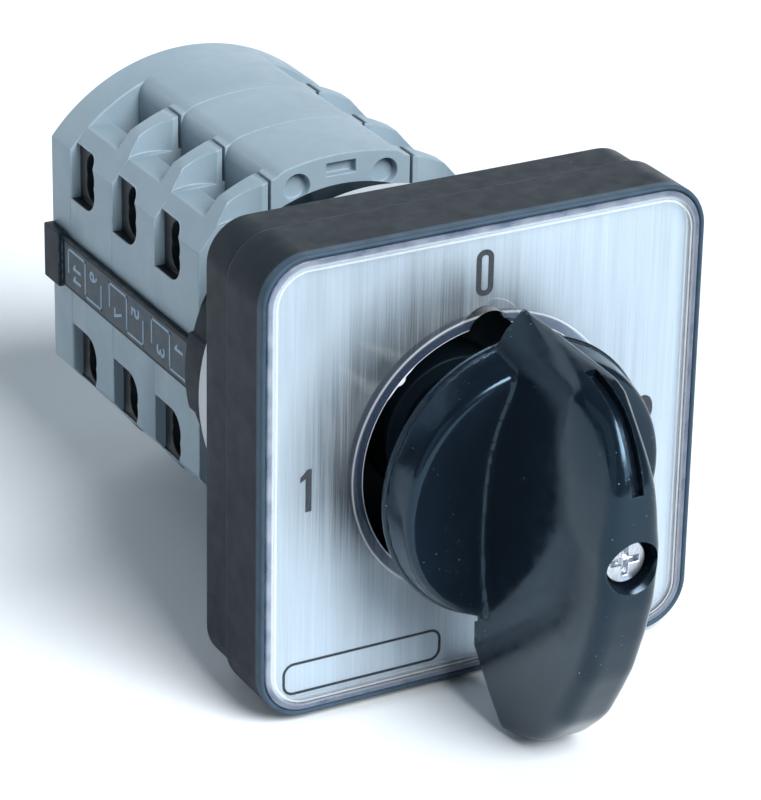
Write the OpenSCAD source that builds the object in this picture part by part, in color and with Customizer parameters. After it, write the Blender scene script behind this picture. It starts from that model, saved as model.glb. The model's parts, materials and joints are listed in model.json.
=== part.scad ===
/* [Front plate] */
// Width and height of the square front frame
plate_w = 64; // [60:1:70]
// Depth of the front frame
front_frame_d = 10; // [8:0.5:14]
// Depth of the rear frame
rear_frame_d = 7; // [6:0.5:10]
// Side wall of both frames
frame_wall = 2.4; // [1.6:0.2:3]
// Corner radius of the front frame
frame_corner_r = 6.5; // [5:0.5:9]
// Rim of the front frame round the cover
frame_rim = 0.7; // [0.5:0.1:1.5]
// How much narrower the rear frame is on each side
parting_step = 0.7; // [0:0.1:1.2]
// Wall behind the legend plate
deck_t = 2; // [1.5:0.1:3]
// Rear wall of the rear frame
floor_t = 3.5; // [3:0.25:5]
// Thickness of the clear cover
cover_t = 1.2; // [0.8:0.1:2]
// Thickness of the legend plate
legend_t = 0.7; // [0.4:0.1:1.2]
// Border of the cover that shows beyond the legend plate
legend_border = 0.4; // [0.2:0.1:1]
// Radius of the opening round the handle
opening_r = 17.9; // [16:0.1:19]
// Radius of the notch at the top of the opening
notch_r = 3.2; // [2:0.1:4]
// Width of the raised ring round the opening
ring_w = 1.6; // [1:0.1:2.4]
// Height of the raised ring
ring_h = 0.6; // [0.3:0.1:1]

/* [Panel fixing] */
// Spacing of the four panel screw holes
fixing_pitch = 48; // [44:0.5:49]
// Diameter of each panel screw hole
fixing_hole_d = 3.3; // [2.5:0.1:4]
// Depth of each panel screw hole
fixing_hole_l = 9; // [6:0.5:11]
// Wall round each panel screw hole
fixing_wall = 1.9; // [1.5:0.1:2.2]

/* [Handle] */
// Gap between the front plate and the skirt
skirt_gap = 7.5; // [5:0.5:10]
// Radius of the skirt at its rear rim
skirt_r = 19.2; // [18:0.1:22]
// Height of the bead round the rear rim
bead_d = 0.9; // [0.5:0.1:1.5]
// Step from the bead to the skirt
bead_step = 0.3; // [0.1:0.1:0.6]
// Narrowing of the skirt towards its front
skirt_draft = 1.2; // [0.5:0.1:2]
// Depth of the skirt
skirt_d = 7.1; // [6:0.1:9]
// Rounding of the skirt's front edge
skirt_round = 0.9; // [0.5:0.1:1.2]
// Radius of the hollows on both sides of the grip
hollow_r = 32; // [26:1:40]
// Material left behind the hollows
hollow_floor = 2.1; // [1.5:0.1:3]
// Width of the grip
grip_w = 11; // [9:0.5:13]
// Reach of the grip's crest in front of the skirt's rim
grip_reach = 29.1; // [27:0.1:31]
// Reach of the grip's pointed tip above the axis
grip_tip = 23.5; // [21:0.5:26]
// Width of the grip where its tip begins
tip_w = 7; // [5:0.5:9]
// Reach of the grip's tail below the axis
grip_tail = 32.4; // [28:0.2:34]
// Width of the grip's crest
crest_w = 8.2; // [4:0.2:9]
// Height above the skirt's rim at which the grip's sides begin to lean in
lean_from = 12.5; // [9:0.5:15]
// Lean of the line at which the sides lean in, in degrees
lean_angle = 12; // [0:1:20]
// Width of the indicator slot
slot_w = 1.6; // [1:0.1:2.4]
// Depth of the indicator slot
slot_d = 1; // [0.6:0.1:1.6]
// Radius of the handle's hub
hub_r = 8; // [7:0.1:9]
// Diameter of the counterbore for the handle screw
counterbore = 7.2; // [6.4:0.1:9]
// Depth of that counterbore
counterbore_d = 4.5; // [2.5:0.1:5]
// Material under the head of the handle screw
handle_web = 5.4; // [3:0.2:8]

/* [Shaft and bearings] */
// Side of the square shaft
shaft_w = 6; // [5:0.5:7]
// Clearance of the shaft in what it drives, on each side
shaft_fit = 0.05; // [0.03:0.01:0.15]
// Radial clearance of the bearings
running_fit = 0.08; // [0.04:0.01:0.1]
// Wall of the bearing tube in the rear frame
bearing_wall = 2.5; // [1.5:0.1:4]

/* [Screws] */
// Thread diameter of the handle and frame screws
small_screw_d = 3; // [2.5:0.1:3.5]
// Head diameter of the handle and frame screws
small_head_d = 5.8; // [5:0.1:6.2]
// Head height of the handle and frame screws
small_head_h = 2; // [1.5:0.1:2.5]
// Spacing of the screws between the rear frame and the mounting disc
frame_screw_pitch = 30; // [29:0.5:31]
// Diameter of the tie bolts
tie_bolt_d = 3.5; // [3:0.1:4]
// Head diameter of the tie bolts
tie_head_d = 6; // [5:0.1:6.4]
// Head height of the tie bolts
tie_head_h = 2; // [1.5:0.1:2.6]
// Distance of each tie bolt from the axis
tie_bolt_x = 14.5; // [14.2:0.1:15.5]

/* [Mounting disc] */
// Radius of the mounting disc
disc_r = 25.5; // [24:0.1:28]
// Depth of the mounting disc
disc_d = 14; // [12:0.5:18]
// Wall of the mounting disc
disc_wall = 2.5; // [1.5:0.1:3]
// Reach of the stop tab from the axis
stop_reach = 10.6; // [9.5:0.1:10.8]
// Width of the stop tab
stop_w = 8; // [6:0.5:9]
// Turn of the handle to each side, in degrees
turn_angle = 90; // [60:5:90]

/* [Latch] */
// Radius of the latch housing
latch_r = 22.8; // [22:0.1:25]
// Depth of the latch housing
latch_d = 8.4; // [8:0.1:11]
// Radius of the raised pads at the sides of the latch housing
pad_r = 23.4; // [22.5:0.1:26]
// Height of those pads
pad_w = 11.2; // [8:0.2:14]
// Mean radius of the star wheel
star_r = 9.4; // [9:0.1:10]
// Half the height of its lobes
star_lobe = 1.1; // [0.6:0.1:1.3]
// Width of the detent plungers
plunger_w = 5; // [4:0.2:6]

/* [Contact stages] */
// Depth of one stage
stage_d = 13.5; // [13:0.1:17]
// Width of the body
body_w = 42.4; // [41:0.2:45]
// Radius of the arched outline
arch_r = 34; // [32:0.5:36]
// Height of the arched outline at the centre
arch_top = 26.6; // [26:0.1:28]
// Height at which the sides begin to slope inwards
side_top = 16.4; // [15.5:0.1:17]
// Height of the top of the side walls between the fins
shoulder_top = 19.8; // [19.4:0.1:20.6]
// Half the width of the central hump
hump_half_w = 10.5; // [10.2:0.1:10.8]
// Radius of the hump's arched top
hump_r = 35; // [32:0.5:40]
// Height of the hump at the centre
hump_top = 27; // [26.6:0.1:28]
// Rounding of the hump's shoulders
hump_round = 3; // [2:0.25:3.5]
// Thickness of each fin at its thickest
fin_t = 3.9; // [3:0.1:4.5]
// Radius of the hollow in the front of each fin
fin_hollow_r = 5.5; // [5:0.1:5.8]
// Thickness of the front wall of a stage
stage_wall = 2; // [1.5:0.1:2.5]
// Thickness of the hump's walls
hump_wall = 1.6; // [1.2:0.1:2]
// Radius of the rear cover's rounded ends
cover_r = 27; // [26.6:0.1:28]
// Depth of the rear cover
cover_d = 6.5; // [3.6:0.1:7]
// Height of the floor of the screw pockets
pocket_floor = 14.8; // [14:0.1:16]
// Width of the wire entries, front to rear
entry_w = 6; // [5.6:0.1:7]
// Height of the wire entries
entry_h = 8.2; // [7:0.1:8.6]

/* [Switching parts] */
// Radius of the cams with the handle at rest
cam_r = 7; // [6.8:0.1:7.4]
// Travel of each bridge from rest to closed
bridge_travel = 1.25; // [1:0.05:1.4]
// Height of the fixed contacts above the axis
contact_z = 9.6; // [9.4:0.1:10]
// Thickness of the contact strips
strip_t = 0.8; // [0.6:0.1:1]
// Width of the contact strips
strip_w = 4; // [3:0.2:5]
// Diameter of the contact rivets
rivet_d = 2.6; // [2:0.1:3]
// Diameter of the terminal screws
terminal_screw_d = 3.2; // [2.8:0.1:3.5]
// Head diameter of the terminal screws
terminal_head_d = 5; // [4:0.1:5.2]
// Distance of the terminal screws from the middle plane
terminal_x = 13.4; // [13.3:0.05:13.8]

/* [Number strips] */
// Height of the number strips
strip_h = 7.5; // [6:0.1:9]
// How far the number strips stand proud
strip_proud = 1; // [0.6:0.1:1.5]
// Height of the strips' rounded ends
strip_head_h = 8.2; // [7.6:0.1:11]
// How far the rounded ends stand proud
strip_head_proud = 1.6; // [1.2:0.1:2.5]

/* [Hidden] */
$fn = 72;

// Overshoot of cuts beyond the surface that they open
over = 1;
// Clearance of a part that drops into a seat
seat_fit = 0.1;
// Clearance of a screw in its hole
screw_fit = 0.05;
// Clearance between sliding parts
slide_fit = 0.2;
// Gap between parts that stand end to end on the shaft
end_gap = 0.1;

// Planes along the axis: the rear face of the rear frame is zero, and the rear is positive
y_parting = -rear_frame_d;
y_front = y_parting - front_frame_d;
y_legend = y_front + cover_t;
y_deck = y_legend + legend_t;
y_deck_rear = y_deck + deck_t;
y_floor = -floor_t;
y_skirt = y_front - skirt_gap;
y_skirt_front = y_skirt - skirt_d;
y_latch = disc_d;
y_stages = y_latch + latch_d;
stage_count = 3;
y_cover = y_stages + stage_count * stage_d;
y_end = y_cover + cover_d;

// Frames
rear_frame_w = plate_w - 2 * parting_step;
cover_w = plate_w - 2 * frame_rim - 2 * seat_fit;
legend_w = cover_w - 2 * legend_border;
deck_step = 0.8;
deck_opening_r = opening_r + deck_step;
notch_play = 0.6;
notch_drop = 1.3;
notch_z = opening_r - notch_drop;
frame_hub_gap = 0.5;
bearing_l = 6.5;
fixing_boss_r = fixing_hole_d / 2 + fixing_wall;
bump_r = 1;
bump_at = opening_r - bump_r / 2;

// Handle
hollow_z = -1;
// The crest from its tail to its tip: [height, how far it falls short of the reach]
crest = [[-25.6, 9.2], [-21, 6.5], [-17, 4.3], [-11, 2.1], [-5.6, 0.6], [0, 0], [3, 0], [7, 0.1], [10, 0.4],
    [12.3, 1.1], [14.5, 2.1], [16.7, 3.4], [18.6, 4.9], [19.8, 6.7], [20.7, 8.7], [21.5, 11.5], [22.4, 18]];
tail_round = 7;
tail_front = 13;
tail_from = -25;
tail_step = 5;
tail_gap = 7;
tail_rear_y = y_skirt - tail_gap;
tip_gap = 2.2;
tip_rear_y = y_skirt - tip_gap;
tail_end_step = 15;
tail_end_h = 3.5;
tip_z = grip_tip - tip_w / 2;
slot_low = 9.9;
slot_high = 21.6;
hub_rear_y = -frame_hub_gap;
y_axis_front = y_skirt - grip_reach;
y_head_seat = y_axis_front + counterbore_d;
y_shaft_front = y_head_seat + handle_web;
shaft_end_l = 2;
y_shaft_rear = y_cover + shaft_end_l;
hollow_y = y_skirt - hollow_floor - hollow_r;
small_screw_r = small_screw_d / 2;
handle_screw_grip = 12;
recess_w = 0.8;
recess_d = 1.1;
recess_half = small_head_d / 3;
tie_recess_half = tie_head_d / 3;

// Mounting disc, latch and stops
boss_r = 3.2;
frame_screw_l = 9;
stop_hub_r = 6.5;
stop_y = 5;
stop_t = 4;
stop_gap = 0.3;
lug_t = 4;
cam_hub_r = 5.4;
latch_wall = 2;
star_gap = 0.6;
star_t = 4.2;
star_lobes = 4;
star_step = 2.5;
star_y = y_latch + latch_wall + star_gap;
star_top = star_r + star_lobe;
detent_gap = 0.3;
plunger_tip_r = 1.5;
plunger_z = star_top + detent_gap;
plunger_l = 5;
detent_end_z = 21.8;
detent_y = star_y + star_t / 2;

// Stage housings
body_half_w = body_w / 2;
arch_drop = arch_r - arch_top;
hump_drop = hump_r - hump_top;
slope_x = 16;
slope_z = 22.9;
outline_peak = 30;
gap_w = 0.4;
pocket_outer_x = 14.5;
fin_hollow_x = 15.2;
fin_hollow_d = 1.2;
cavity_x = hump_half_w - hump_wall;
cavity_z = 24.4;
chamber_x0 = 11.2;
chamber_x1 = 17.6;
chamber_w = 5.8;
chamber_top = 12.9;
access_r = terminal_head_d / 2 + slide_fit;
entry_z = 13.7;
entry_d = 1.5;
entry_lobe_r = 2.6;
entry_lobe_z = 1.1;
stage_hole_r = 1.9;
stage_hole_x = 6.6;
stage_hole_z = 23.2;
stage_hole_d = 1.3;
stage_recess = [4.4, 1.8];
stage_recess_z = 24.9;
rib_x = 4.2;
rib_t = 1.2;
rib_z = 15.6;

// Switching parts
cam_t = 6;
cam_angle_step = 5;
cam_lift = 2 * bridge_travel;
follower_gap = 0.15;
follower_tip_r = 0.8;
follower_half_w = 4;
follower_neck_w = 1.2;
follower_z = cam_r + follower_gap;
follower_neck_z = 9.4;
contact_left = 0.1;
rivet_h = 0.6;
rivet_x = 6.6;
bridge_z = contact_z + strip_t + rivet_h + bridge_travel + contact_left + rivet_h;
bridge_half_w = 8.2;
bridge_w = 4;
carrier_top = 17;
carrier_neck_w = 5.6;
strip_in_x = 5.3;
strip_out_x = 18.8;
terminal_strip_w = 5.4;
clamp_z = 11.6;
clamp_t = 0.8;
clamp_half = 2.7;
terminal_l = 6;
slot_cut_w = 0.8;
slot_cut_d = 0.8;
spring_r = 2;
wire_r = 0.3;
spring_turns = 5;
spring_steps = 12;
wire_sides = 6;

// Number strips
strip_front_gap = 0.6;
strip_front_y = y_stages + strip_front_gap;
strip_head_l = 5;
strip_rear_gap = 0.5;

// Colours as they look
black = [0.07, 0.08, 0.09];
gloss_black = [0.03, 0.03, 0.04];
body_blue = [0.66, 0.73, 0.78];
light_grey = [0.78, 0.79, 0.8];
zinc = [0.75, 0.76, 0.78];
copper = [0.8, 0.55, 0.35];
nylon = [0.85, 0.84, 0.78];

// Front of stage n, and the middle of its contacts behind the fin
function stage_y(n) = y_stages + (n - 1) * stage_d;
function stage_mid(n) = stage_y(n) + (stage_d + fin_t) / 2;

// Solids laid along the switch's axis
module along_y(y0, length) {
    translate([0, y0 + length, 0]) rotate([90, 0, 0]) linear_extrude(length) children();
}

module rod_y(r, y0, length) {
    translate([0, y0, 0]) rotate([-90, 0, 0]) cylinder(r = r, h = length);
}

module across_x(width) {
    rotate([90, 0, 90]) translate([0, 0, -width / 2]) linear_extrude(width) children();
}

module box(x0, x1, y0, y1, z0, z1) {
    translate([x0, y0, z0]) cube([x1 - x0, y1 - y0, z1 - z0]);
}

module both_x() {
    children();
    mirror([1, 0, 0]) children();
}

module both_z() {
    children();
    mirror([0, 0, 1]) children();
}

module four_corners(pitch) {
    for (x = [-pitch / 2, pitch / 2])
        for (z = [-pitch / 2, pitch / 2])
            translate([x, 0, z]) children();
}

// Flat shapes
module rounded_square(w, r) {
    square([w, w - 2 * r], center = true);
    square([w - 2 * r, w], center = true);
    for (x = [-1, 1])
        for (z = [-1, 1])
            translate([x * (w / 2 - r), z * (w / 2 - r)]) circle(r);
}

module opening_shape(r, notch) {
    circle(r);
    translate([0, notch_z]) circle(notch);
}

// Outline of the fins
module body_outline() {
    intersection() {
        polygon([
            [body_half_w, -side_top], [body_half_w, side_top], [slope_x, slope_z],
            [0, outline_peak], [-slope_x, slope_z], [-body_half_w, side_top],
            [-body_half_w, -side_top], [-slope_x, -slope_z], [0, -outline_peak],
            [slope_x, -slope_z]]);
        translate([0, -arch_drop]) circle(arch_r);
        translate([0, arch_drop]) circle(arch_r);
    }
}

// Half of the hump: straight sides, rounded shoulders and an arched top
module hump_half() {
    shoulder_x = hump_half_w - hump_round;
    reach = hump_r - hump_round;
    shoulder_z = sqrt(reach * reach - shoulder_x * shoulder_x) - hump_drop;
    fan = 2 * hump_r / reach;
    translate([-hump_half_w, 0]) square([2 * hump_half_w, shoulder_z]);
    for (x = [-shoulder_x, shoulder_x])
        translate([x, shoulder_z]) circle(hump_round);
    intersection() {
        translate([0, -hump_drop]) circle(hump_r);
        translate([0, -hump_drop])
            polygon([[0, 0], [fan * shoulder_x, fan * (shoulder_z + hump_drop)],
                [-fan * shoulder_x, fan * (shoulder_z + hump_drop)]]);
        translate([-hump_half_w, 0]) square([2 * hump_half_w, outline_peak]);
    }
}

module hump_outline() {
    hump_half();
    mirror([0, 1]) hump_half();
}

// Coil spring standing along Z from z0 to z1
function ring_point(i, k, z0, z1) =
    let (
        turn = i * 360 / spring_steps,
        side = k * 360 / wire_sides,
        r = spring_r + wire_r * cos(side),
        rise = (z1 - z0 - 2 * wire_r) * i / (spring_turns * spring_steps))
    [r * cos(turn), r * sin(turn), z0 + wire_r + rise + wire_r * sin(side)];

module coil_spring(z0, z1) {
    rings = spring_turns * spring_steps;
    points = [for (i = [0:rings]) for (k = [0:wire_sides - 1]) ring_point(i, k, z0, z1)];
    sides = [for (i = [0:rings - 1]) for (k = [0:wire_sides - 1])
        [i * wire_sides + k, (i + 1) * wire_sides + k,
            (i + 1) * wire_sides + (k + 1) % wire_sides, i * wire_sides + (k + 1) % wire_sides]];
    first = [for (k = [0:wire_sides - 1]) k];
    last = [for (k = [wire_sides - 1:-1:0]) rings * wire_sides + k];
    polyhedron(points, concat(sides, [first], [last]), convexity = 4);
}

// Front plate
module front_frame() {
    color(black) difference() {
        along_y(y_front, front_frame_d) rounded_square(plate_w, frame_corner_r);
        along_y(y_front - over, over + cover_t + legend_t)
            rounded_square(cover_w + 2 * seat_fit, frame_corner_r - frame_rim);
        along_y(y_deck_rear, -y_deck_rear)
            rounded_square(plate_w - 2 * frame_wall, frame_corner_r - frame_wall);
        four_corners(fixing_pitch) rod_y(fixing_boss_r + seat_fit, y_deck_rear, -y_deck_rear);
        along_y(y_front, front_frame_d) opening_shape(deck_opening_r, notch_r + notch_play);
    }
}

module rear_frame() {
    color(black) difference() {
        union() {
            difference() {
                along_y(y_parting, rear_frame_d) rounded_square(rear_frame_w, frame_corner_r - parting_step);
                along_y(y_parting - over, over + rear_frame_d - floor_t)
                    rounded_square(rear_frame_w - 2 * frame_wall, frame_corner_r - frame_wall);
            }
            four_corners(fixing_pitch) rod_y(fixing_boss_r, y_deck_rear, y_floor - y_deck_rear);
            rod_y(hub_r + bearing_wall, y_floor - bearing_l, bearing_l);
        }
        rod_y(hub_r + running_fit, y_front, -y_front + over);
        four_corners(fixing_pitch) rod_y(fixing_hole_d / 2, -fixing_hole_l, fixing_hole_l + over);
        four_corners(frame_screw_pitch) rod_y(small_screw_r + screw_fit, y_front, -y_front + over);
    }
}

module clear_cover() {
    color([0.75, 0.8, 0.95, 0.35]) difference() {
        union() {
            along_y(y_front, cover_t) rounded_square(cover_w, frame_corner_r - frame_rim - seat_fit);
            rod_y(opening_r + ring_w, y_front - ring_h, ring_h + cover_t);
            along_y(y_front - ring_h, ring_h + cover_t)
                translate([0, notch_z]) circle(notch_r + ring_w);
        }
        difference() {
            along_y(y_front - over, 2 * over + cover_t) opening_shape(opening_r, notch_r);
            for (a = [45:90:315])
                rotate([0, a, 0]) translate([0, 0, bump_at + bump_r])
                    rod_y(bump_r, y_front - over, cover_t + 2 * over);
        }
    }
}

module legend_plate() {
    color([0.83, 0.84, 0.86]) difference() {
        along_y(y_legend, legend_t) rounded_square(legend_w, frame_corner_r - frame_rim - legend_border);
        along_y(y_legend - over, 2 * over + legend_t) opening_shape(opening_r, notch_r);
    }
}

// Cross-head screw along the axis, its head towards the front
module cross_screw(y_seat, length) {
    difference() {
        union() {
            rod_y(small_head_d / 2, y_seat - small_head_h, small_head_h);
            rod_y(small_screw_r, y_seat, length);
        }
        for (a = [0, 90])
            rotate([0, a, 0])
                box(-recess_half, recess_half, y_seat - small_head_h - over,
                    y_seat - small_head_h + recess_d, -recess_w / 2, recess_w / 2);
    }
}

module frame_screws() {
    color(zinc) four_corners(frame_screw_pitch) cross_screw(y_floor, floor_t + frame_screw_l);
}

// Handle and what turns with it
function crest_y(point) = y_axis_front + point[1];

// The crest from the tip down, a rounded tail, and straight edges behind
module grip_side() {
    front = [for (i = [len(crest) - 1:-1:0]) [crest_y(crest[i]), crest[i][0]]];
    tail = [for (a = [tail_from:-tail_step:-90])
        [y_skirt - tail_front - tail_round * cos(a), tail_round - grip_tail + tail_round * sin(a)]];
    polygon(concat(front, tail, [
        [tail_rear_y, -grip_tail],
        [y_skirt - bead_d, -skirt_r + bead_step], [y_skirt - bead_d, skirt_r - bead_step],
        [tip_rear_y, grip_tip]]));
}

module grip_front() {
    end_z = tail_end_h - grip_tail;
    end = [for (a = [0:-tail_end_step:-180]) [grip_w / 2 * cos(a), end_z + tail_end_h * sin(a)]];
    polygon(concat([[-grip_w / 2, 0], [-tip_w / 2, tip_z], [0, grip_tip], [tip_w / 2, tip_z],
        [grip_w / 2, 0]], end));
}

// The sides lean in from a line that itself leans, so that the tail leans from further back
module grip_lean() {
    far = 2 * grip_reach;
    slope = (grip_w - crest_w) / 2 / (grip_reach - lean_from);
    half_w = crest_w / 2 - slope * over;
    translate([0, y_skirt, 0]) rotate([lean_angle, 0, 0])
        translate([0, 0, -far]) linear_extrude(2 * far)
            polygon([[-grip_w / 2, far], [-grip_w / 2, -lean_from], [-half_w, -grip_reach - over],
                [half_w, -grip_reach - over], [grip_w / 2, -lean_from], [grip_w / 2, far]]);
}

module indicator_slot() {
    along = [for (p = crest) if (p[0] > slot_low && p[0] < slot_high) [crest_y(p), p[0]]];
    outer = [for (p = along) p + [-over, over]];
    inner = [for (i = [len(along) - 1:-1:0]) along[i] + slot_d * [1, -1]];
    across_x(slot_w) polygon(concat(outer, inner));
}

module skirt() {
    front_r = skirt_r - bead_step - skirt_draft;
    difference() {
        rotate([90, 0, 0]) rotate_extrude()
            polygon([[0, -y_skirt], [skirt_r, -y_skirt], [skirt_r, bead_d - y_skirt],
                [skirt_r - bead_step, bead_d - y_skirt], [front_r, -y_skirt_front - skirt_round],
                [front_r - skirt_round, -y_skirt_front], [0, -y_skirt_front]]);
        both_x() translate([grip_w / 2, hollow_y, hollow_z]) sphere(hollow_r);
    }
}

module handle() {
    socket_w = shaft_w + 2 * shaft_fit;
    color(gloss_black) difference() {
        union() {
            skirt();
            intersection() {
                across_x(grip_w + over) grip_side();
                along_y(y_skirt - 2 * grip_reach, 2 * grip_reach) grip_front();
                grip_lean();
            }
            rod_y(hub_r, y_skirt - over, hub_rear_y - y_skirt + over);
        }
        indicator_slot();
        rod_y(counterbore / 2, y_head_seat - 2 * counterbore_d, 2 * counterbore_d);
        rod_y(small_screw_r + seat_fit, y_head_seat - over, handle_web + 2 * over);
        box(-socket_w / 2, socket_w / 2, y_shaft_front, over, -socket_w / 2, socket_w / 2);
    }
}

module handle_screw() {
    color(zinc) cross_screw(y_head_seat, handle_web + handle_screw_grip);
}

module square_shaft() {
    color(zinc) difference() {
        box(-shaft_w / 2, shaft_w / 2, y_shaft_front, y_shaft_rear, -shaft_w / 2, shaft_w / 2);
        rod_y(small_screw_r + screw_fit, y_shaft_front - over, handle_screw_grip + 2 * over);
    }
}

module square_bore(y0, y1) {
    half = shaft_w / 2 + shaft_fit;
    box(-half, half, y0 - over, y1 + over, -half, half);
}

module stop_disc() {
    color(black) difference() {
        union() {
            rod_y(stop_hub_r, end_gap / 2, disc_d - end_gap);
            box(-stop_w / 2, stop_w / 2, stop_y, stop_y + stop_t, 0, stop_reach);
        }
        square_bore(0, disc_d);
    }
}

module star_wheel() {
    outline = [for (a = [0:star_step:360 - star_step])
        (star_r - star_lobe * cos(star_lobes * a)) * [sin(a), cos(a)]];
    color(nylon) difference() {
        union() {
            along_y(star_y, star_t) polygon(outline);
            rod_y(cam_hub_r, y_latch + end_gap / 2, latch_d - end_gap);
        }
        square_bore(y_latch, y_stages);
    }
}

// The cam's radius grows evenly from its lowest point at +X to its highest at -X
module cam(n) {
    outline = [for (a = [0:cam_angle_step:360 - cam_angle_step])
        (cam_r + cam_lift * (90 - abs(a - 180)) / 180) * [cos(a), sin(a)]];
    color(nylon) difference() {
        union() {
            along_y(stage_mid(n) - cam_t / 2, cam_t) polygon(outline);
            rod_y(cam_hub_r, stage_y(n) + end_gap / 2, stage_d - end_gap);
        }
        square_bore(stage_y(n), stage_y(n + 1));
    }
}

// Mounting disc with the stop lugs
module mounting_disc() {
    lug_x = stop_hub_r + stop_gap;
    lug_top = -stop_w / 2 - stop_gap;
    color(light_grey) difference() {
        union() {
            difference() {
                rod_y(disc_r, 0, disc_d);
                rod_y(disc_r - disc_wall, disc_wall, disc_d);
            }
            four_corners(frame_screw_pitch) rod_y(boss_r, disc_wall, frame_screw_l);
            both_x() translate([tie_bolt_x, 0, 0]) rod_y(boss_r, disc_wall, disc_d - disc_wall);
            both_x() rotate([0, 90 - turn_angle, 0])
                box(lug_x, stop_reach, disc_wall, stop_y + stop_t, lug_top - lug_t, lug_top);
        }
        rod_y(stop_hub_r + running_fit, -over, disc_d);
        four_corners(frame_screw_pitch) rod_y(small_screw_r + screw_fit, -over, frame_screw_l + 2 * over);
        both_x() translate([tie_bolt_x, 0, 0])
            rod_y(tie_bolt_d / 2 + screw_fit, disc_d / 2 - over, disc_d);
    }
}

// Latch housing with the channels of the two detent plungers
module latch_housing() {
    channel_w = plunger_w + slide_fit;
    color(black) difference() {
        union() {
            rod_y(latch_r, y_latch, latch_d);
            intersection() {
                rod_y(pad_r, y_latch, latch_d);
                box(-pad_r, pad_r, y_latch, y_stages, -pad_w / 2, pad_w / 2);
            }
        }
        rod_y(star_top + star_gap, y_latch + latch_wall, latch_d);
        rod_y(cam_hub_r + running_fit, y_latch - over, latch_d);
        both_z() box(-channel_w / 2, channel_w / 2, detent_y - channel_w / 2, y_stages + over, 0, detent_end_z);
        both_x() translate([tie_bolt_x, 0, 0]) rod_y(tie_bolt_d / 2 + screw_fit, y_latch - over, latch_d + 2 * over);
    }
}

module detent_plunger() {
    half = plunger_w / 2;
    body_z = plunger_z + plunger_tip_r;
    color(nylon) {
        translate([0, 0, body_z]) intersection() {
            rod_y(plunger_tip_r, detent_y - half, plunger_w);
            box(-half, half, detent_y - half, detent_y + half, -plunger_tip_r, half);
        }
        box(-half, half, detent_y - half, detent_y + half, body_z, plunger_z + plunger_l);
    }
}

module detent_spring() {
    color(zinc) translate([0, detent_y, 0]) coil_spring(plunger_z + plunger_l, detent_end_z);
}

// One contact stage
module terminal_cuts(n) {
    y = stage_mid(n);
    y_rear = stage_y(n + 1) + over;
    lobe_z = (entry_h - entry_w) / 2;
    both_z() both_x() {
        // Chamber of the clamp, and the way of the strip through the hump's wall
        box(chamber_x0, chamber_x1, y - chamber_w / 2, y + chamber_w / 2, contact_z, chamber_top);
        box(chamber_x1 - over, strip_out_x + slide_fit, y - chamber_w / 2, y + chamber_w / 2,
            contact_z, contact_z + strip_t);
        box(strip_in_x, chamber_x0 + over, y - strip_w / 2 - screw_fit, y + strip_w / 2 + screw_fit,
            contact_z, contact_z + strip_t + screw_fit);
        // Screw pocket, the way down to the screw and its thread
        box(hump_half_w, pocket_outer_x, stage_y(n) + fin_t, y_rear, pocket_floor, outline_peak);
        translate([terminal_x, y, contact_z]) cylinder(r = access_r, h = pocket_floor - contact_z + over);
        translate([terminal_x, y, clamp_z - terminal_l])
            cylinder(r = terminal_screw_d / 2 + screw_fit, h = terminal_l);
        // Wire entry: a shallow recess, open to the rear, and a waisted hole behind it
        box(body_half_w - entry_d, body_half_w + over, y, y_rear, entry_z - entry_h / 2, entry_z + entry_h / 2);
        for (lobe = [-lobe_z, lobe_z])
            translate([body_half_w - entry_d, y, entry_z + lobe]) rotate([0, 90, 0])
                cylinder(r = entry_w / 2, h = entry_d + over);
        for (lobe = [-entry_lobe_z, entry_lobe_z])
            translate([chamber_x1 - screw_fit, y, entry_z + lobe]) rotate([0, 90, 0])
                cylinder(r = entry_lobe_r, h = body_half_w - chamber_x1);
    }
}

module stage_housing(n) {
    y0 = stage_y(n);
    color(body_blue) difference() {
        union() {
            along_y(y0, stage_d) hump_outline();
            along_y(y0, fin_t) body_outline();
            along_y(y0, stage_d) intersection() {
                body_outline();
                square([body_w, 2 * shoulder_top], center = true);
            }
        }
        // Inside of the hump, open to the rear, with ribs that guide the bridges
        difference() {
            box(-cavity_x, cavity_x, y0 + stage_wall, y0 + stage_d + over, -cavity_z, cavity_z);
            both_z() both_x() box(rib_x, rib_x + rib_t, y0, y0 + stage_d, rib_z, cavity_z + over);
        }
        rod_y(cam_hub_r + running_fit, y0 - over, stage_d);
        // Gap between the fins and the hump
        both_z() both_x() box(hump_half_w, hump_half_w + gap_w, y0 - over, y0 + stage_d + over,
            shoulder_top, outline_peak);
        // Hollow in the front of the fin
        both_z() both_x() translate([fin_hollow_x, y0 + fin_hollow_d - fin_hollow_r, shoulder_top])
            cylinder(r = fin_hollow_r, h = outline_peak - shoulder_top);
        terminal_cuts(n);
        both_x() translate([tie_bolt_x, 0, 0]) rod_y(tie_bolt_d / 2 + screw_fit, y0 - over, stage_d + 2 * over);
        // Holes and recess in the front face
        both_z() {
            both_x() translate([stage_hole_x, 0, stage_hole_z]) rod_y(stage_hole_r, y0 - over, over + stage_hole_d);
            along_y(y0 - over, over + stage_hole_d)
                translate([0, stage_recess_z]) square(stage_recess, center = true);
        }
    }
}

module fixed_contacts(n) {
    y = stage_mid(n);
    color(copper) both_z() both_x() difference() {
        union() {
            box(strip_in_x, chamber_x0, y - strip_w / 2, y + strip_w / 2, contact_z, contact_z + strip_t);
            box(chamber_x0, strip_out_x, y - terminal_strip_w / 2, y + terminal_strip_w / 2,
                contact_z, contact_z + strip_t);
            translate([rivet_x, y, contact_z]) cylinder(r = rivet_d / 2, h = strip_t + rivet_h);
        }
        translate([terminal_x, y, contact_z - over])
            cylinder(r = terminal_screw_d / 2 + screw_fit, h = strip_t + 2 * over);
    }
}

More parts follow.
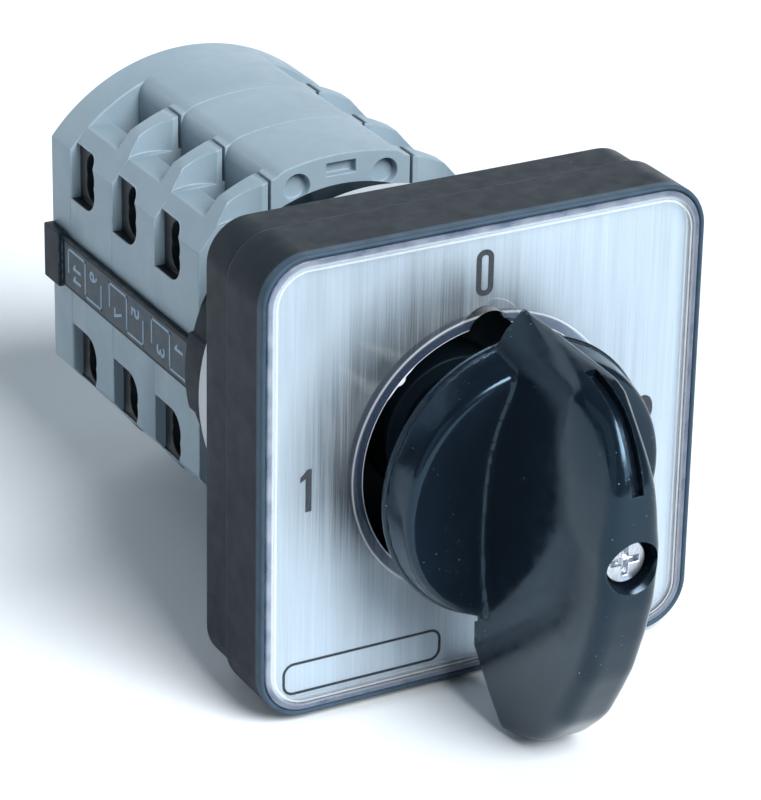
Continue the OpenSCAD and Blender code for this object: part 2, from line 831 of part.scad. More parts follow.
module terminal_clamps(n) {
    y = stage_mid(n);
    color(zinc) both_z() both_x() difference() {
        box(chamber_x0 + slide_fit, terminal_x + clamp_half, y - clamp_half, y + clamp_half,
            clamp_z, clamp_z + clamp_t);
        translate([terminal_x, y, clamp_z - over])
            cylinder(r = terminal_screw_d / 2 + screw_fit, h = clamp_t + 2 * over);
    }
}

module terminal_screws(n) {
    y = stage_mid(n);
    head_z = clamp_z + clamp_t;
    head_h = pocket_floor - head_z;
    color(zinc) both_z() both_x() translate([terminal_x, y, 0]) difference() {
        union() {
            translate([0, 0, head_z]) cylinder(r = terminal_head_d / 2, h = head_h);
            translate([0, 0, head_z - terminal_l]) cylinder(r = terminal_screw_d / 2, h = terminal_l);
        }
        translate([0, 0, head_z + head_h]) cube([slot_cut_w, terminal_head_d + over, 2 * slot_cut_d], center = true);
    }
}

// Moving bridge of the upper pair; the lower one is its mirror image
module bridge_carrier(n) {
    y = stage_mid(n);
    tip_z = follower_z + follower_tip_r;
    guide_w = follower_half_w;
    depth = stage_d - stage_wall - 2 * slide_fit;
    color(black) difference() {
        union() {
            translate([0, 0, tip_z]) rod_y(follower_tip_r, y - carrier_neck_w / 2, carrier_neck_w);
            box(-follower_neck_w, follower_neck_w, y - carrier_neck_w / 2, y + carrier_neck_w / 2,
                tip_z, follower_neck_z);
            box(-guide_w, guide_w, y - carrier_neck_w / 2, y + carrier_neck_w / 2,
                follower_neck_z, carrier_top);
            box(-guide_w, guide_w, stage_y(n) + stage_wall + slide_fit,
                stage_y(n) + stage_wall + slide_fit + depth, bridge_z + strip_t, carrier_top);
        }
        box(-guide_w - over, guide_w + over, y - bridge_w / 2, y + bridge_w / 2, bridge_z, bridge_z + strip_t);
    }
}

module bridge_contact(n) {
    y = stage_mid(n);
    color(copper) {
        box(-bridge_half_w, bridge_half_w, y - bridge_w / 2, y + bridge_w / 2, bridge_z, bridge_z + strip_t);
        both_x() translate([rivet_x, y, bridge_z - rivet_h]) cylinder(r = rivet_d / 2, h = rivet_h);
    }
}

module contact_spring(n) {
    color(zinc) translate([0, stage_mid(n), 0]) coil_spring(carrier_top, cavity_z);
}

// Rear cover, number strips and bolts
module rear_cover() {
    color(body_blue) difference() {
        along_y(y_cover, cover_d) intersection() {
            circle(cover_r);
            square([body_w, 2 * cover_r], center = true);
        }
        rod_y(cam_hub_r + running_fit, y_cover - over, y_shaft_rear - y_cover + over + slide_fit);
        both_x() translate([tie_bolt_x, 0, 0]) {
            rod_y(tie_bolt_d / 2 + screw_fit, y_cover - over, cover_d + 2 * over);
            rod_y(tie_head_d / 2 + seat_fit, y_end - tie_head_h, tie_head_h + over);
        }
    }
}

module number_strip() {
    strip_end_y = y_end - strip_rear_gap;
    head_y = strip_end_y - strip_head_l;
    color(black) {
        box(body_half_w, body_half_w + strip_proud, strip_front_y, head_y, -strip_h / 2, strip_h / 2);
        box(body_half_w, body_half_w + strip_head_proud, head_y, strip_end_y,
            -strip_head_h / 2, strip_head_h / 2);
    }
}

module tie_bolts() {
    y_seat = y_end - tie_head_h;
    color(zinc) both_x() translate([tie_bolt_x, 0, 0]) difference() {
        union() {
            rod_y(tie_bolt_d / 2, disc_d / 2, y_seat - disc_d / 2);
            rod_y(tie_head_d / 2, y_seat, tie_head_h);
        }
        for (a = [0, 90])
            rotate([0, a, 0])
                box(-tie_recess_half, tie_recess_half, y_end - recess_d, y_end + over,
                    -recess_w / 2, recess_w / 2);
    }
}

front_frame();
rear_frame();
clear_cover();
legend_plate();
frame_screws();
handle();
handle_screw();
square_shaft();
stop_disc();
star_wheel();
mounting_disc();
latch_housing();
detent_plunger();  // detent_plunger_upper
mirror([0, 0, 1]) detent_plunger();  // detent_plunger_lower
detent_spring();  // detent_spring_upper
mirror([0, 0, 1]) detent_spring();  // detent_spring_lower
stage_housing(1);  // stage_housing_1
stage_housing(2);  // stage_housing_2
stage_housing(3);  // stage_housing_3
cam(1);  // cam_1
cam(2);  // cam_2
cam(3);  // cam_3
fixed_contacts(1);  // fixed_contacts_1
fixed_contacts(2);  // fixed_contacts_2
fixed_contacts(3);  // fixed_contacts_3
terminal_clamps(1);  // terminal_clamps_1
terminal_clamps(2);  // terminal_clamps_2
terminal_clamps(3);  // terminal_clamps_3
terminal_screws(1);  // terminal_screws_1
terminal_screws(2);  // terminal_screws_2
terminal_screws(3);  // terminal_screws_3
bridge_carrier(1);  // bridge_carrier_upper_1
bridge_carrier(2);  // bridge_carrier_upper_2
bridge_carrier(3);  // bridge_carrier_upper_3
mirror([0, 0, 1]) bridge_carrier(1);  // bridge_carrier_lower_1
mirror([0, 0, 1]) bridge_carrier(2);  // bridge_carrier_lower_2
mirror([0, 0, 1]) bridge_carrier(3);  // bridge_carrier_lower_3
bridge_contact(1);  // bridge_contact_upper_1
bridge_contact(2);  // bridge_contact_upper_2
bridge_contact(3);  // bridge_contact_upper_3
mirror([0, 0, 1]) bridge_contact(1);  // bridge_contact_lower_1
mirror([0, 0, 1]) bridge_contact(2);  // bridge_contact_lower_2
mirror([0, 0, 1]) bridge_contact(3);  // bridge_contact_lower_3
contact_spring(1);  // contact_spring_upper_1
contact_spring(2);  // contact_spring_upper_2
contact_spring(3);  // contact_spring_upper_3
mirror([0, 0, 1]) contact_spring(1);  // contact_spring_lower_1
mirror([0, 0, 1]) contact_spring(2);  // contact_spring_lower_2
mirror([0, 0, 1]) contact_spring(3);  // contact_spring_lower_3
rear_cover();
mirror([1, 0, 0]) number_strip();  // number_strip_left
number_strip();  // number_strip_right
tie_bolts();
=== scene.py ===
import json
import math

import bmesh
import bpy
import numpy as np
from mathutils import Matrix, Vector

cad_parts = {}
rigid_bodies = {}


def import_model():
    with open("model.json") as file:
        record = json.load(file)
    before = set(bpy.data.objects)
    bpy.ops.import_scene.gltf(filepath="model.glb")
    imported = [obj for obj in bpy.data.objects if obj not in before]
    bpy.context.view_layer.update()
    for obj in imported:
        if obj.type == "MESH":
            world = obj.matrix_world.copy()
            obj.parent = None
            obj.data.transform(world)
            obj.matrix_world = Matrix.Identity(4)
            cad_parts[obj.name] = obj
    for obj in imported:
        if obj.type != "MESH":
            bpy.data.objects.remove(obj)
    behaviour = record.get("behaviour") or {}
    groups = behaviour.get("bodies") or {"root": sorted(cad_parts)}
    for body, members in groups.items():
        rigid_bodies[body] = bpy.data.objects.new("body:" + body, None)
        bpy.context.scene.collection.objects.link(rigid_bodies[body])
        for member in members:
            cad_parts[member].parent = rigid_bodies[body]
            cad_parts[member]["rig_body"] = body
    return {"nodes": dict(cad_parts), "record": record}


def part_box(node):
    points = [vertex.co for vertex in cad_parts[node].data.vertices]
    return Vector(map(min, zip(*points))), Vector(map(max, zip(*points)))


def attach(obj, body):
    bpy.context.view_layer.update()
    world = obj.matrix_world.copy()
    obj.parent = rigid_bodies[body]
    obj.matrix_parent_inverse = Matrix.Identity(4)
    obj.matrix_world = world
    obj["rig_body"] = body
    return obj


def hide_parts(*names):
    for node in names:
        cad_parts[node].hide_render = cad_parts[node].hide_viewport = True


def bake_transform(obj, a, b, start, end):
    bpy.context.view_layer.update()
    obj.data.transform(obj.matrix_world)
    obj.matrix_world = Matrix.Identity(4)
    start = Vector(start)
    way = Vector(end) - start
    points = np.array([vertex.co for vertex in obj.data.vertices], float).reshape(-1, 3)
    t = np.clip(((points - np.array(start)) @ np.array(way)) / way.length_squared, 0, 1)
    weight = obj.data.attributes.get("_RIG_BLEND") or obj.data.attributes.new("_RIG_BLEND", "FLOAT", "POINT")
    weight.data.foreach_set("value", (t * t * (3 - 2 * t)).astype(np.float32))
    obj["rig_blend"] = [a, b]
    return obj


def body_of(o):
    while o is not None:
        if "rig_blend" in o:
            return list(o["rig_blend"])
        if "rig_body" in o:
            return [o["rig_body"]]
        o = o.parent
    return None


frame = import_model()

# Lengths are in millimetres, angles in degrees
MM = 0.001
STAGES = (1, 2, 3)

# The camera stands where the photograph was taken from
CAMERA_AT = (-234.4, -410.3, 220.3)
CAMERA_AZIMUTH = 29.12
CAMERA_ELEVATION = 24.99
CAMERA_ROLL = 1.11
CAMERA_LENS = 178.8

# Planes and sizes of the CAD model
FLOOR_Z = -32.9
Y_LEGEND = -15.8
Y_RING = -17.6
Y_SKIRT = -24.5
Y_STAGES = 22.4
STAGE_D = 13.5
Y_REAR = Y_STAGES + len(STAGES) * STAGE_D
BODY_HALF_W = 21.2
STRIP_PROUD = 1.0
OPENING_R = 17.9
COVER_CORNER_AT = 25.4

# Wire slots, whose insides get a painted shade: their sides slant in above a height
WIRE_SLOT_X = (14.5, 21.0)
WIRE_SLOT_Y = (5.4, 13.4)
WIRE_SLOT_Z = (8.0, 17.95)
SLANT_FROM_Z = 16.4
SLANT = 0.8

# Where light is painted on the clear cover: a dark blue tint for the light that its rim gathers past the
# corners' centres and its ring by the distance from the axis, and painted highlight lines along their edges
RIM_TINT_R = (4.7, 5.2)
RIM_HIGHLIGHT_R = (4.45, 4.6)
RING_FRONT_Y = (Y_RING + 0.15, Y_RING + 0.35)
RING_TINT_R = (OPENING_R - 0.3, OPENING_R + 1.3)
RING_EDGE_HIGHLIGHT_R = (OPENING_R - 0.3, OPENING_R + 0.15)
RING_STEP_HIGHLIGHT_R = (OPENING_R + 1.45, OPENING_R + 1.7)

# How strongly each painted tint and painted highlight shows
RIM_TINT_SHOWS = 0.75
RIM_HIGHLIGHT_SHOWS = 0.4
RING_TINT_SHOWS = 0.3
RING_EDGE_HIGHLIGHT_SHOWS = 0.85
RING_STEP_HIGHLIGHT_SHOWS = 0.3

# Painted shade on the legend plate: a dark halo for the handle's reflection, fading away from the opening,
# to the right and downwards
REFLECTED_HALO_R = (OPENING_R + 0.5, OPENING_R + 13.0)
REFLECTED_HALO_X = (-10.0, 12.0)
REFLECTED_HALO_Z = (-13.0, -2.0)
REFLECTED_HALO_FALL = 1.3

# Surface effects
NOISE_RANGE = (0.3, 0.7)
WORN_EDGE_W = 0.35
# Depth of the pale reflection painted on the front frame's foremost edge
FRONT_REFLECTION_D = 0.4
DUST_COLOUR = (0.62, 0.62, 0.6)
DUST_FROM = 0.80
DUST_FULL = 0.84
DUST_SPREAD = 0.14
DUST_ROUGHNESS = 0.3

# An edge is rounded where its angle is in a range, and where the faces and the edges next to it leave room
EDGE_ANGLES = (28, 100)
FACE_SHARE = 1.5
LENGTH_SHARE = 1.2
ACUTE_COSINE = 0.85
STRAIGHT_COSINE = -0.9

# Bead and skirt of the handle, and the hollows on both sides of its grip
BEAD_R = 19.2
BEAD_D = 0.9
BEAD_ROUND = 0.25
BEAD_FRONT_ROUND = 0.2
BEAD_FRONT_SLANT = 0.05
BEAD_TUCK = 0.4
SKIRT_REAR_R = 18.9
SKIRT_FRONT_R = 17.8
SKIRT_REAR_Y = -25.4
SKIRT_FRONT_Y = -31.6
SKIRT_OVERLAP = 0.1
SHOULDER_R = 2.4
HOLLOW_Y = -26.9
HOLLOW_MID_Z = -6
HOLLOW_FROM_X = 5.0
HOLLOW_BOW_Z = 0.0088
HOLLOW_BOW_X = 0.0185
HOLLOW_STEEPNESS = 0.93
HOLLOW_R = 1.4

# Grip: its crest as (z, y) points, and its half width there as (z, x) points
GRIP_HALF_W = 5.5
CREST_AT = (
    (-36.0, -33.4), (-33.0, -37.0), (-25.6, -44.4), (-21.0, -47.1), (-17.0, -49.3), (-11.0, -51.5),
    (-5.6, -53.0), (0.0, -53.55), (3.0, -53.55), (7.0, -53.5), (10.0, -53.2), (12.3, -52.5),
    (14.5, -51.5), (16.7, -50.2), (18.6, -48.7), (19.8, -46.9), (20.7, -44.9), (21.5, -42.1),
    (22.4, -35.6))
CREST_HALF_W = ((2.0, 4.0), (10.0, 3.0), (16.0, 1.9), (20.0, 1.3))
CREST_STEP = 0.1
CREST_SMOOTHING = 19
CREST_ENDS_Z = (-34.0, 21.3)
LEAN_ENDS_Z = (-33.0, 20.0)

# Where its flanks end and its sides start to lean in, as (z, y) points
FLANK_END_AT = ((-34, -24), (-24, -26.5), (-17.2, -30), (-12.7, -33.4), (-8.1, -35.8), (0.6, -37.2),
                (10, -39.4), (24, -42))

# Straight cuts that shape its tip and tail: lines from point to point, or a point and a direction
FLANK_TAPER = ((GRIP_HALF_W, 8.0), (3.5, 20.0))
TIP_TOP = ((-41, 22.3), (-0.085, 1.0))
TIP_SIDE = ((3.5, 19.6), (0.0, 23.5))
TAIL_FRONT = ((-38.0, -34.6), (-0.5, -0.866))
TAIL_REAR = ((-30.9, -32.0), (-23.3, -21.5))
TAIL_END = ((-31, -32.5), (-0.2, -0.98))
TAIL_FREE_Z = -19.5

# How softly these forms run into each other; the crest's softness is given as (z, width) points
FLANK_SOFT = 1.0
LEAN_SOFT = 1.2
CREST_SOFT = ((4, 2.4), (20, 1.0))
TIP_TOP_SOFT = 0.9
TIP_SIDE_SOFT = 0.8
TAIL_FRONT_SOFT = 4.5
TAIL_REAR_SOFT = 0.6
TAIL_END_SOFT = 1.0
GRIP_FOOT_SOFT = 0.6

# Slot, hub and bores of the handle, and how far what cuts them stands out of the crest
SLOT_FROM_Z = 9.6
SLOT_TO_Z = 21.6
SLOT_DEPTH = 1.2
SLOT_HALF_W = 0.85
HUB_R = 8.0
HUB_END_Y = -0.5
HUB_ROUND = 0.3
HUB_FOOT = 0.4
SCREW_HOLE_R = 3.6
SCREW_SEAT_Y = -49.18
SOCKET_HALF_W = 3.05
CUTTER_PROUD = 2.0

# The grid on which the handle's surface is found
HANDLE_LOW = (-20.9, -54.9, -33.9)
HANDLE_HIGH = (20.9, -24.9, 24.5)
GRID_STEP = 0.42

# Coil springs
WIRE_R = 0.3
SPRING_TURNS = 5

# Prints: the legend's and the cover's room for them, the strips', and a 1 beside other digits
LEGEND_PRINT_D = 0.06
COVER_GAP = 0.12
DIGIT_H = 5.9
SIDE_DIGITS_Z = -0.6
STRIP_PRINT_D = 0.04
STRIP_LINES_Y = (1.3, 6.5, 12.4)
LABEL_FROM_Y = 1.0
STRIP_LINE = 0.34
STRIP_LINE_Z = 2.75
STRIP_STUB_Z = 1.1
LABEL_MARGIN = 0.45
NUMBER_W = 1.5
NUMBER_H = 2.5
NUMBER_MARGIN = 0.75
ONE_W_SHARE = 0.62
ONE_STROKE_SHARE = 0.30
DIGIT_PITCH_SHARE = 1.15


def rad(degrees):
    return math.radians(degrees)


# Shader nodes

def shader_group(name, inputs, outputs):
    """A node group with float inputs and outputs, and its two ends."""
    group = bpy.data.node_groups.new(name, "ShaderNodeTree")
    for label, value in inputs.items():
        socket = group.interface.new_socket(label, in_out="INPUT", socket_type="NodeSocketFloat")
        socket.default_value = value
    for label in outputs:
        group.interface.new_socket(label, in_out="OUTPUT", socket_type="NodeSocketFloat")
    return group, group.nodes.new("NodeGroupInput"), group.nodes.new("NodeGroupOutput")


def set_or_link(tree, socket, value):
    """Gives a socket a number, or links another socket to it."""
    if isinstance(value, (int, float)):
        socket.default_value = value
    else:
        tree.links.new(value, socket)


def calculate(tree, operation, *terms, clamp=False):
    """A Math node; each term is a number or a socket."""
    made = tree.nodes.new("ShaderNodeMath")
    made.operation = operation
    made.use_clamp = clamp
    for i, term in enumerate(terms):
        set_or_link(tree, made.inputs[i], term)
    return made.outputs["Value"]


def product(tree, first, *others):
    for other in others:
        first = calculate(tree, "MULTIPLY", first, other)
    return first


def largest(tree, first, *others):
    for other in others:
        first = calculate(tree, "MAXIMUM", first, other)
    return first


def remap(tree, source, start, end, low=0.0, high=1.0):
    """Maps a value between start and end onto low to high, and stops there."""
    made = tree.nodes.new("ShaderNodeMapRange")
    for label, value in (("From Min", start), ("From Max", end), ("To Min", low), ("To Max", high)):
        set_or_link(tree, made.inputs[label], value)
    tree.links.new(source, made.inputs["Value"])
    return made.outputs["Result"]


def noise_at(tree, scale, detail, stretch=(1, 1, 1)):
    """Noise on Object coordinates; scale is in features per millimetre."""
    where = tree.nodes.new("ShaderNodeTexCoord")
    mapping = tree.nodes.new("ShaderNodeMapping")
    mapping.inputs["Scale"].default_value = [s / MM for s in stretch]
    tree.links.new(where.outputs["Object"], mapping.inputs["Vector"])
    noise = tree.nodes.new("ShaderNodeTexNoise")
    noise.inputs["Detail"].default_value = detail
    set_or_link(tree, noise.inputs["Scale"], scale)
    tree.links.new(mapping.outputs["Vector"], noise.inputs["Vector"])
    return noise.outputs["Fac"]


def spread(tree, noise, low=0.0, high=1.0):
    """Stretches the range in which most of a noise lies over low to high."""
    return remap(tree, noise, *NOISE_RANGE, low, high)


def window(tree, value, low, high, edge):
    """One between low and high, and zero beyond them."""
    rise = remap(tree, value, low - edge, low)
    return product(tree, rise, remap(tree, value, high, high + edge, 1.0, 0.0))


def millimetres_of(tree):
    """Object coordinates in millimetres, one socket for each axis."""
    where = tree.nodes.new("ShaderNodeTexCoord")
    parts = tree.nodes.new("ShaderNodeSeparateXYZ")
    tree.links.new(where.outputs["Object"], parts.inputs["Vector"])
    return {axis: product(tree, parts.outputs[axis], 1 / MM) for axis in "XYZ"}


def axis_distance(tree):
    """Distance from the switch's axis in millimetres."""
    at = millimetres_of(tree)
    squares = [product(tree, at[axis], at[axis]) for axis in "XZ"]
    return calculate(tree, "SQRT", calculate(tree, "ADD", *squares))


def corner_distance(tree, centre):
    """Distance beyond the centres of a square's round corners, in millimetres."""
    at = millimetres_of(tree)
    squares = []
    for axis in "XZ":
        beyond = calculate(tree, "SUBTRACT", calculate(tree, "ABSOLUTE", at[axis]), centre)
        beyond = largest(tree, beyond, 0.0)
        squares.append(product(tree, beyond, beyond))
    return calculate(tree, "SQRT", calculate(tree, "ADD", *squares))


# Shader groups

def make_grain_group():
    """Grain of a moulded surface: fine height, slow clouds and smudges."""
    scales = {"Grain": 4.0, "Clouds": 0.08, "Smudges": 0.5}
    group, start, end = shader_group("moulded_grain", scales, ("Height", "Clouds", "Smudges"))
    rows = (("Grain", "Height", 3.0), ("Clouds", "Clouds", 3.0), ("Smudges", "Smudges", 4.0))
    for label, target, detail in rows:
        value = noise_at(group, start.outputs[label], detail)
        group.links.new(spread(group, value), end.inputs[target])
    return group


def make_edge_group():
    """Mask of the edges, from how far a rounded normal leans away from the plain one."""
    group, start, end = shader_group("worn_edges", {"Gain": 6.0}, ("Mask",))
    rounded = group.nodes.new("ShaderNodeBevel")
    rounded.samples = 4
    rounded.inputs["Radius"].default_value = WORN_EDGE_W * MM
    plain = group.nodes.new("ShaderNodeNewGeometry")
    dot = group.nodes.new("ShaderNodeVectorMath")
    dot.operation = "DOT_PRODUCT"
    group.links.new(rounded.outputs["Normal"], dot.inputs[0])
    group.links.new(plain.outputs["Normal"], dot.inputs[1])
    lean = calculate(group, "SUBTRACT", 1.0, dot.outputs["Value"])
    lean = calculate(group, "MULTIPLY", lean, start.outputs["Gain"], clamp=True)
    uneven = noise_at(group, scale=0.9, detail=4.0)
    patches = remap(group, uneven, start=0.42, end=0.60, low=0.15, high=1.0)
    group.links.new(product(group, lean, patches), end.inputs["Mask"])
    return group


def make_dust_group():
    """Mask of fine dust: small specks where a slow noise lets them lie, and more of them for more dust."""
    group, start, end = shader_group("dust", {"Specks": 2.2, "Amount": 0.5}, ("Mask",))
    specks = noise_at(group, start.outputs["Specks"], detail=2.0)
    areas = remap(group, noise_at(group, scale=0.12, detail=2.0), start=0.45, end=0.65)
    threshold = calculate(group, "SUBTRACT", DUST_FROM, product(group, start.outputs["Amount"], DUST_SPREAD))
    dots = remap(group, specks, threshold, DUST_FULL)
    group.links.new(product(group, dots, areas), end.inputs["Mask"])
    return group


GRAIN = make_grain_group()
EDGES = make_edge_group()
DUST = make_dust_group()


# Materials

def new_material(name):
    """A material with a Principled shader, its tree and its shader."""
    made = bpy.data.materials.new(name)
    made.use_nodes = True
    tree = made.node_tree
    shader = next(n for n in tree.nodes if n.type == "BSDF_PRINCIPLED")
    return made, tree, shader


def use_group(tree, group, **values):
    made = tree.nodes.new("ShaderNodeGroup")
    made.node_tree = group
    for label, value in values.items():
        made.inputs[label].default_value = value
    return made


def colour_mix(tree, mask, first, second):
    """Mixes two colours, each a triple or a socket."""
    mix = tree.nodes.new("ShaderNodeMix")
    mix.data_type = "RGBA"
    colours = [s for s in mix.inputs if s.type == "RGBA"]
    for socket, colour in zip(colours, (first, second)):
        if isinstance(colour, tuple):
            socket.default_value = (*colour, 1)
        else:
            tree.links.new(colour, socket)
    tree.links.new(mask, mix.inputs["Factor"])
    return next(s for s in mix.outputs if s.type == "RGBA")


def add_bump(tree, shader, height, strength, distance):
    made = tree.nodes.new("ShaderNodeBump")
    made.inputs["Strength"].default_value = strength
    made.inputs["Distance"].default_value = distance * MM
    tree.links.new(height, made.inputs["Height"])
    tree.links.new(made.outputs["Normal"], shader.inputs["Normal"])


def moulded_plastic(name, colour, shade, rough, height=0.012, wear=(0.5, 0.5, 0.5), wear_share=0.25,
                    dust=0.3, gloss=0.5, glint=(1, 1, 1), worn_beyond=None, painted_light_patch=None):
    """Moulded plastic: grain, slow colour variation, worn edges and a little dust.

    height is the grain's, wear the colour of its worn edges, and glint the tint of its gloss. Nearer the
    axis than worn_beyond nothing is worn. patch is a mask's function and the colour that it gets, which is
    painted light: painted shade in the body's wire slots and a painted reflection on the front frame's edge.
    """
    made, tree, shader = new_material(name)
    shader.inputs["Specular IOR Level"].default_value = gloss
    shader.inputs["Specular Tint"].default_value = (*glint, 1)
    surface = use_group(tree, GRAIN, Grain=4.0, Clouds=0.07, Smudges=0.45)
    edges = use_group(tree, EDGES, Gain=5.0)
    specks = use_group(tree, DUST, Specks=2.4, Amount=dust)
    base = colour_mix(tree, surface.outputs["Clouds"], colour, shade)
    worn = product(tree, edges.outputs["Mask"], wear_share)
    if worn_beyond:
        worn = product(tree, worn, remap(tree, axis_distance(tree), worn_beyond, worn_beyond + 1))
    base = colour_mix(tree, worn, base, wear)
    base = colour_mix(tree, specks.outputs["Mask"], base, DUST_COLOUR)
    if painted_light_patch:
        mask, painted_light_colour = painted_light_patch
        base = colour_mix(tree, mask(tree), base, painted_light_colour)
    tree.links.new(base, shader.inputs["Base Color"])
    smudged = remap(tree, surface.outputs["Smudges"], 0.0, 1.0, low=rough - 0.05, high=rough + 0.07)
    dusty = product(tree, specks.outputs["Mask"], DUST_ROUGHNESS)
    tree.links.new(calculate(tree, "ADD", smudged, dusty), shader.inputs["Roughness"])
    add_bump(tree, shader, surface.outputs["Height"], strength=0.3, distance=height)
    return made


def wire_slots(tree):
    """Mask of the inside of the wire slots, where a dark colour is painted as the shade that lies there."""
    at = millimetres_of(tree)
    along = calculate(tree, "MODULO", calculate(tree, "SUBTRACT", at["Y"], Y_STAGES), STAGE_D)
    height = calculate(tree, "ABSOLUTE", at["Z"])
    above = largest(tree, calculate(tree, "SUBTRACT", height, SLANT_FROM_Z), 0.0)
    reach = calculate(tree, "ADD", calculate(tree, "ABSOLUTE", at["X"]), product(tree, above, SLANT))
    return product(
        tree,
        window(tree, along, *WIRE_SLOT_Y, edge=0.05),
        window(tree, at["Y"], Y_STAGES, Y_REAR, edge=0.05),
        window(tree, reach, *WIRE_SLOT_X, edge=0.08),
        window(tree, height, *WIRE_SLOT_Z, edge=0.1))


def front_rim(tree):
    """Mask of the front frame's foremost edge, where a pale reflection of the front light is painted."""
    foremost = remap(tree, millimetres_of(tree)["Y"], Y_LEGEND + FRONT_REFLECTION_D, Y_LEGEND)
    return product(tree, foremost, spread(tree, noise_at(tree, scale=0.4, detail=3.0), 0.7, 1.0))


def brushed_metal(name, colour, dark, rough, stretch):
    """Brushed or drawn metal: hair lines along the axes on which stretch is small, and smudges."""
    made, tree, shader = new_material(name)
    shader.inputs["Metallic"].default_value = 1.0
    hair = noise_at(tree, scale=5.0, detail=4.0, stretch=stretch)
    surface = use_group(tree, GRAIN, Grain=3.0, Clouds=0.05, Smudges=0.2)
    tree.links.new(colour_mix(tree, spread(tree, hair), dark, colour), shader.inputs["Base Color"])
    smudged = remap(tree, surface.outputs["Smudges"], 0.0, 1.0, low=rough - 0.04, high=rough + 0.06)
    tree.links.new(smudged, shader.inputs["Roughness"])
    add_bump(tree, shader, hair, strength=0.4, distance=0.004)
    return made


def clear_plastic(name):
    """Clear cover: almost nothing face-on, a painted white sheen that grows towards grazing angles, a painted
    dark blue where its rim and its ring gather the light, and painted highlight lines along their edges.
    """
    made, tree, shader = new_material(name)
    wash = spread(tree, noise_at(tree, scale=0.3, detail=2.0), 0.8, 1.0)
    reach = corner_distance(tree, COVER_CORNER_AT)
    rim = product(tree, remap(tree, reach, *RIM_TINT_R), wash)
    rim_highlight = product(tree, window(tree, reach, *RIM_HIGHLIGHT_R, edge=0.12), wash, RIM_HIGHLIGHT_SHOWS)
    from_axis = axis_distance(tree)
    front = remap(tree, millimetres_of(tree)["Y"], *RING_FRONT_Y, low=1.0, high=0.0)
    ring_edge_highlight = product(tree, window(tree, from_axis, *RING_EDGE_HIGHLIGHT_R, edge=0.1), front, RING_EDGE_HIGHLIGHT_SHOWS)
    ring_step_highlight = product(tree, window(tree, from_axis, *RING_STEP_HIGHLIGHT_R, edge=0.1), RING_STEP_HIGHLIGHT_SHOWS, front)
    ring_tint = window(tree, from_axis, *RING_TINT_R, edge=0.1)
    ring_tint = calculate(tree, "SUBTRACT", ring_tint, ring_edge_highlight, clamp=True)
    # Painted light: white for the sheen and the highlight lines, dark blue for the light that the rim and
    # ring gather
    sheen_white, gathered_light_tint = (0.95, 0.97, 1.0), (0.07, 0.10, 0.17)
    base = colour_mix(tree, largest(tree, rim, ring_tint), sheen_white, gathered_light_tint)
    tree.links.new(base, shader.inputs["Base Color"])
    facing = tree.nodes.new("ShaderNodeLayerWeight")
    facing.inputs["Blend"].default_value = 0.3
    sheen = remap(tree, facing.outputs["Facing"], start=0.25, end=1.0, low=0.015, high=0.6)
    alpha = largest(tree, sheen, product(tree, rim, RIM_TINT_SHOWS), product(tree, ring_tint, RING_TINT_SHOWS),
                    rim_highlight, ring_edge_highlight, ring_step_highlight)
    tree.links.new(alpha, shader.inputs["Alpha"])
    smudges = noise_at(tree, scale=0.25, detail=3.0)
    tree.links.new(spread(tree, smudges, 0.03, 0.09), shader.inputs["Roughness"])
    return made


def legend_metal(name):
    """Aluminium brushed up and down, with painted shade by the handle's opening: a dark halo for its
    reflection.
    """
    made, tree, shader = new_material(name)
    shader.inputs["Metallic"].default_value = 0.55
    broad = noise_at(tree, scale=0.55, detail=2.0, stretch=(1, 1, 0.03))
    fine = noise_at(tree, scale=5.0, detail=3.0, stretch=(1, 1, 0.012))
    tone = calculate(tree, "ADD", product(tree, broad, 0.45), product(tree, fine, 0.55))
    dull, bright, shadow = (0.43, 0.51, 0.58), (0.52, 0.62, 0.71), (0.07, 0.09, 0.11)
    base = colour_mix(tree, remap(tree, tone, start=0.36, end=0.64), dull, bright)
    at = millimetres_of(tree)
    # Painted shade: the handle's dark reflection, strongest near the opening, on the left and at the top
    near = remap(tree, axis_distance(tree), *REFLECTED_HALO_R, low=1.0, high=0.0)
    on_left = remap(tree, at["X"], *REFLECTED_HALO_X, low=1.0, high=0.15)
    on_top = remap(tree, at["Z"], *REFLECTED_HALO_Z, low=0.4, high=1.5)
    streaks = remap(tree, tone, start=0.40, end=0.60, low=1.0, high=0.6)
    reflected_shade = product(tree, calculate(tree, "POWER", near, REFLECTED_HALO_FALL), on_left, on_top)
    reflected_shade = calculate(tree, "MULTIPLY", reflected_shade, streaks, clamp=True)
    tree.links.new(colour_mix(tree, reflected_shade, base, shadow), shader.inputs["Base Color"])
    tree.links.new(spread(tree, broad, 0.34, 0.46), shader.inputs["Roughness"])
    add_bump(tree, shader, fine, strength=0.35, distance=0.006)
    return made


def printed_ink(name, colour, shade):
    """Printed marking: an ink with uneven cover."""
    made, tree, shader = new_material(name)
    shader.inputs["Specular IOR Level"].default_value = 0.15
    surface = use_group(tree, GRAIN, Grain=6.0, Clouds=0.5, Smudges=2.0)
    tree.links.new(colour_mix(tree, surface.outputs["Smudges"], colour, shade), shader.inputs["Base Color"])
    rough = remap(tree, surface.outputs["Clouds"], 0.0, 1.0, low=0.4, high=0.55)
    tree.links.new(rough, shader.inputs["Roughness"])
    add_bump(tree, shader, surface.outputs["Height"], strength=0.2, distance=0.004)
    return made


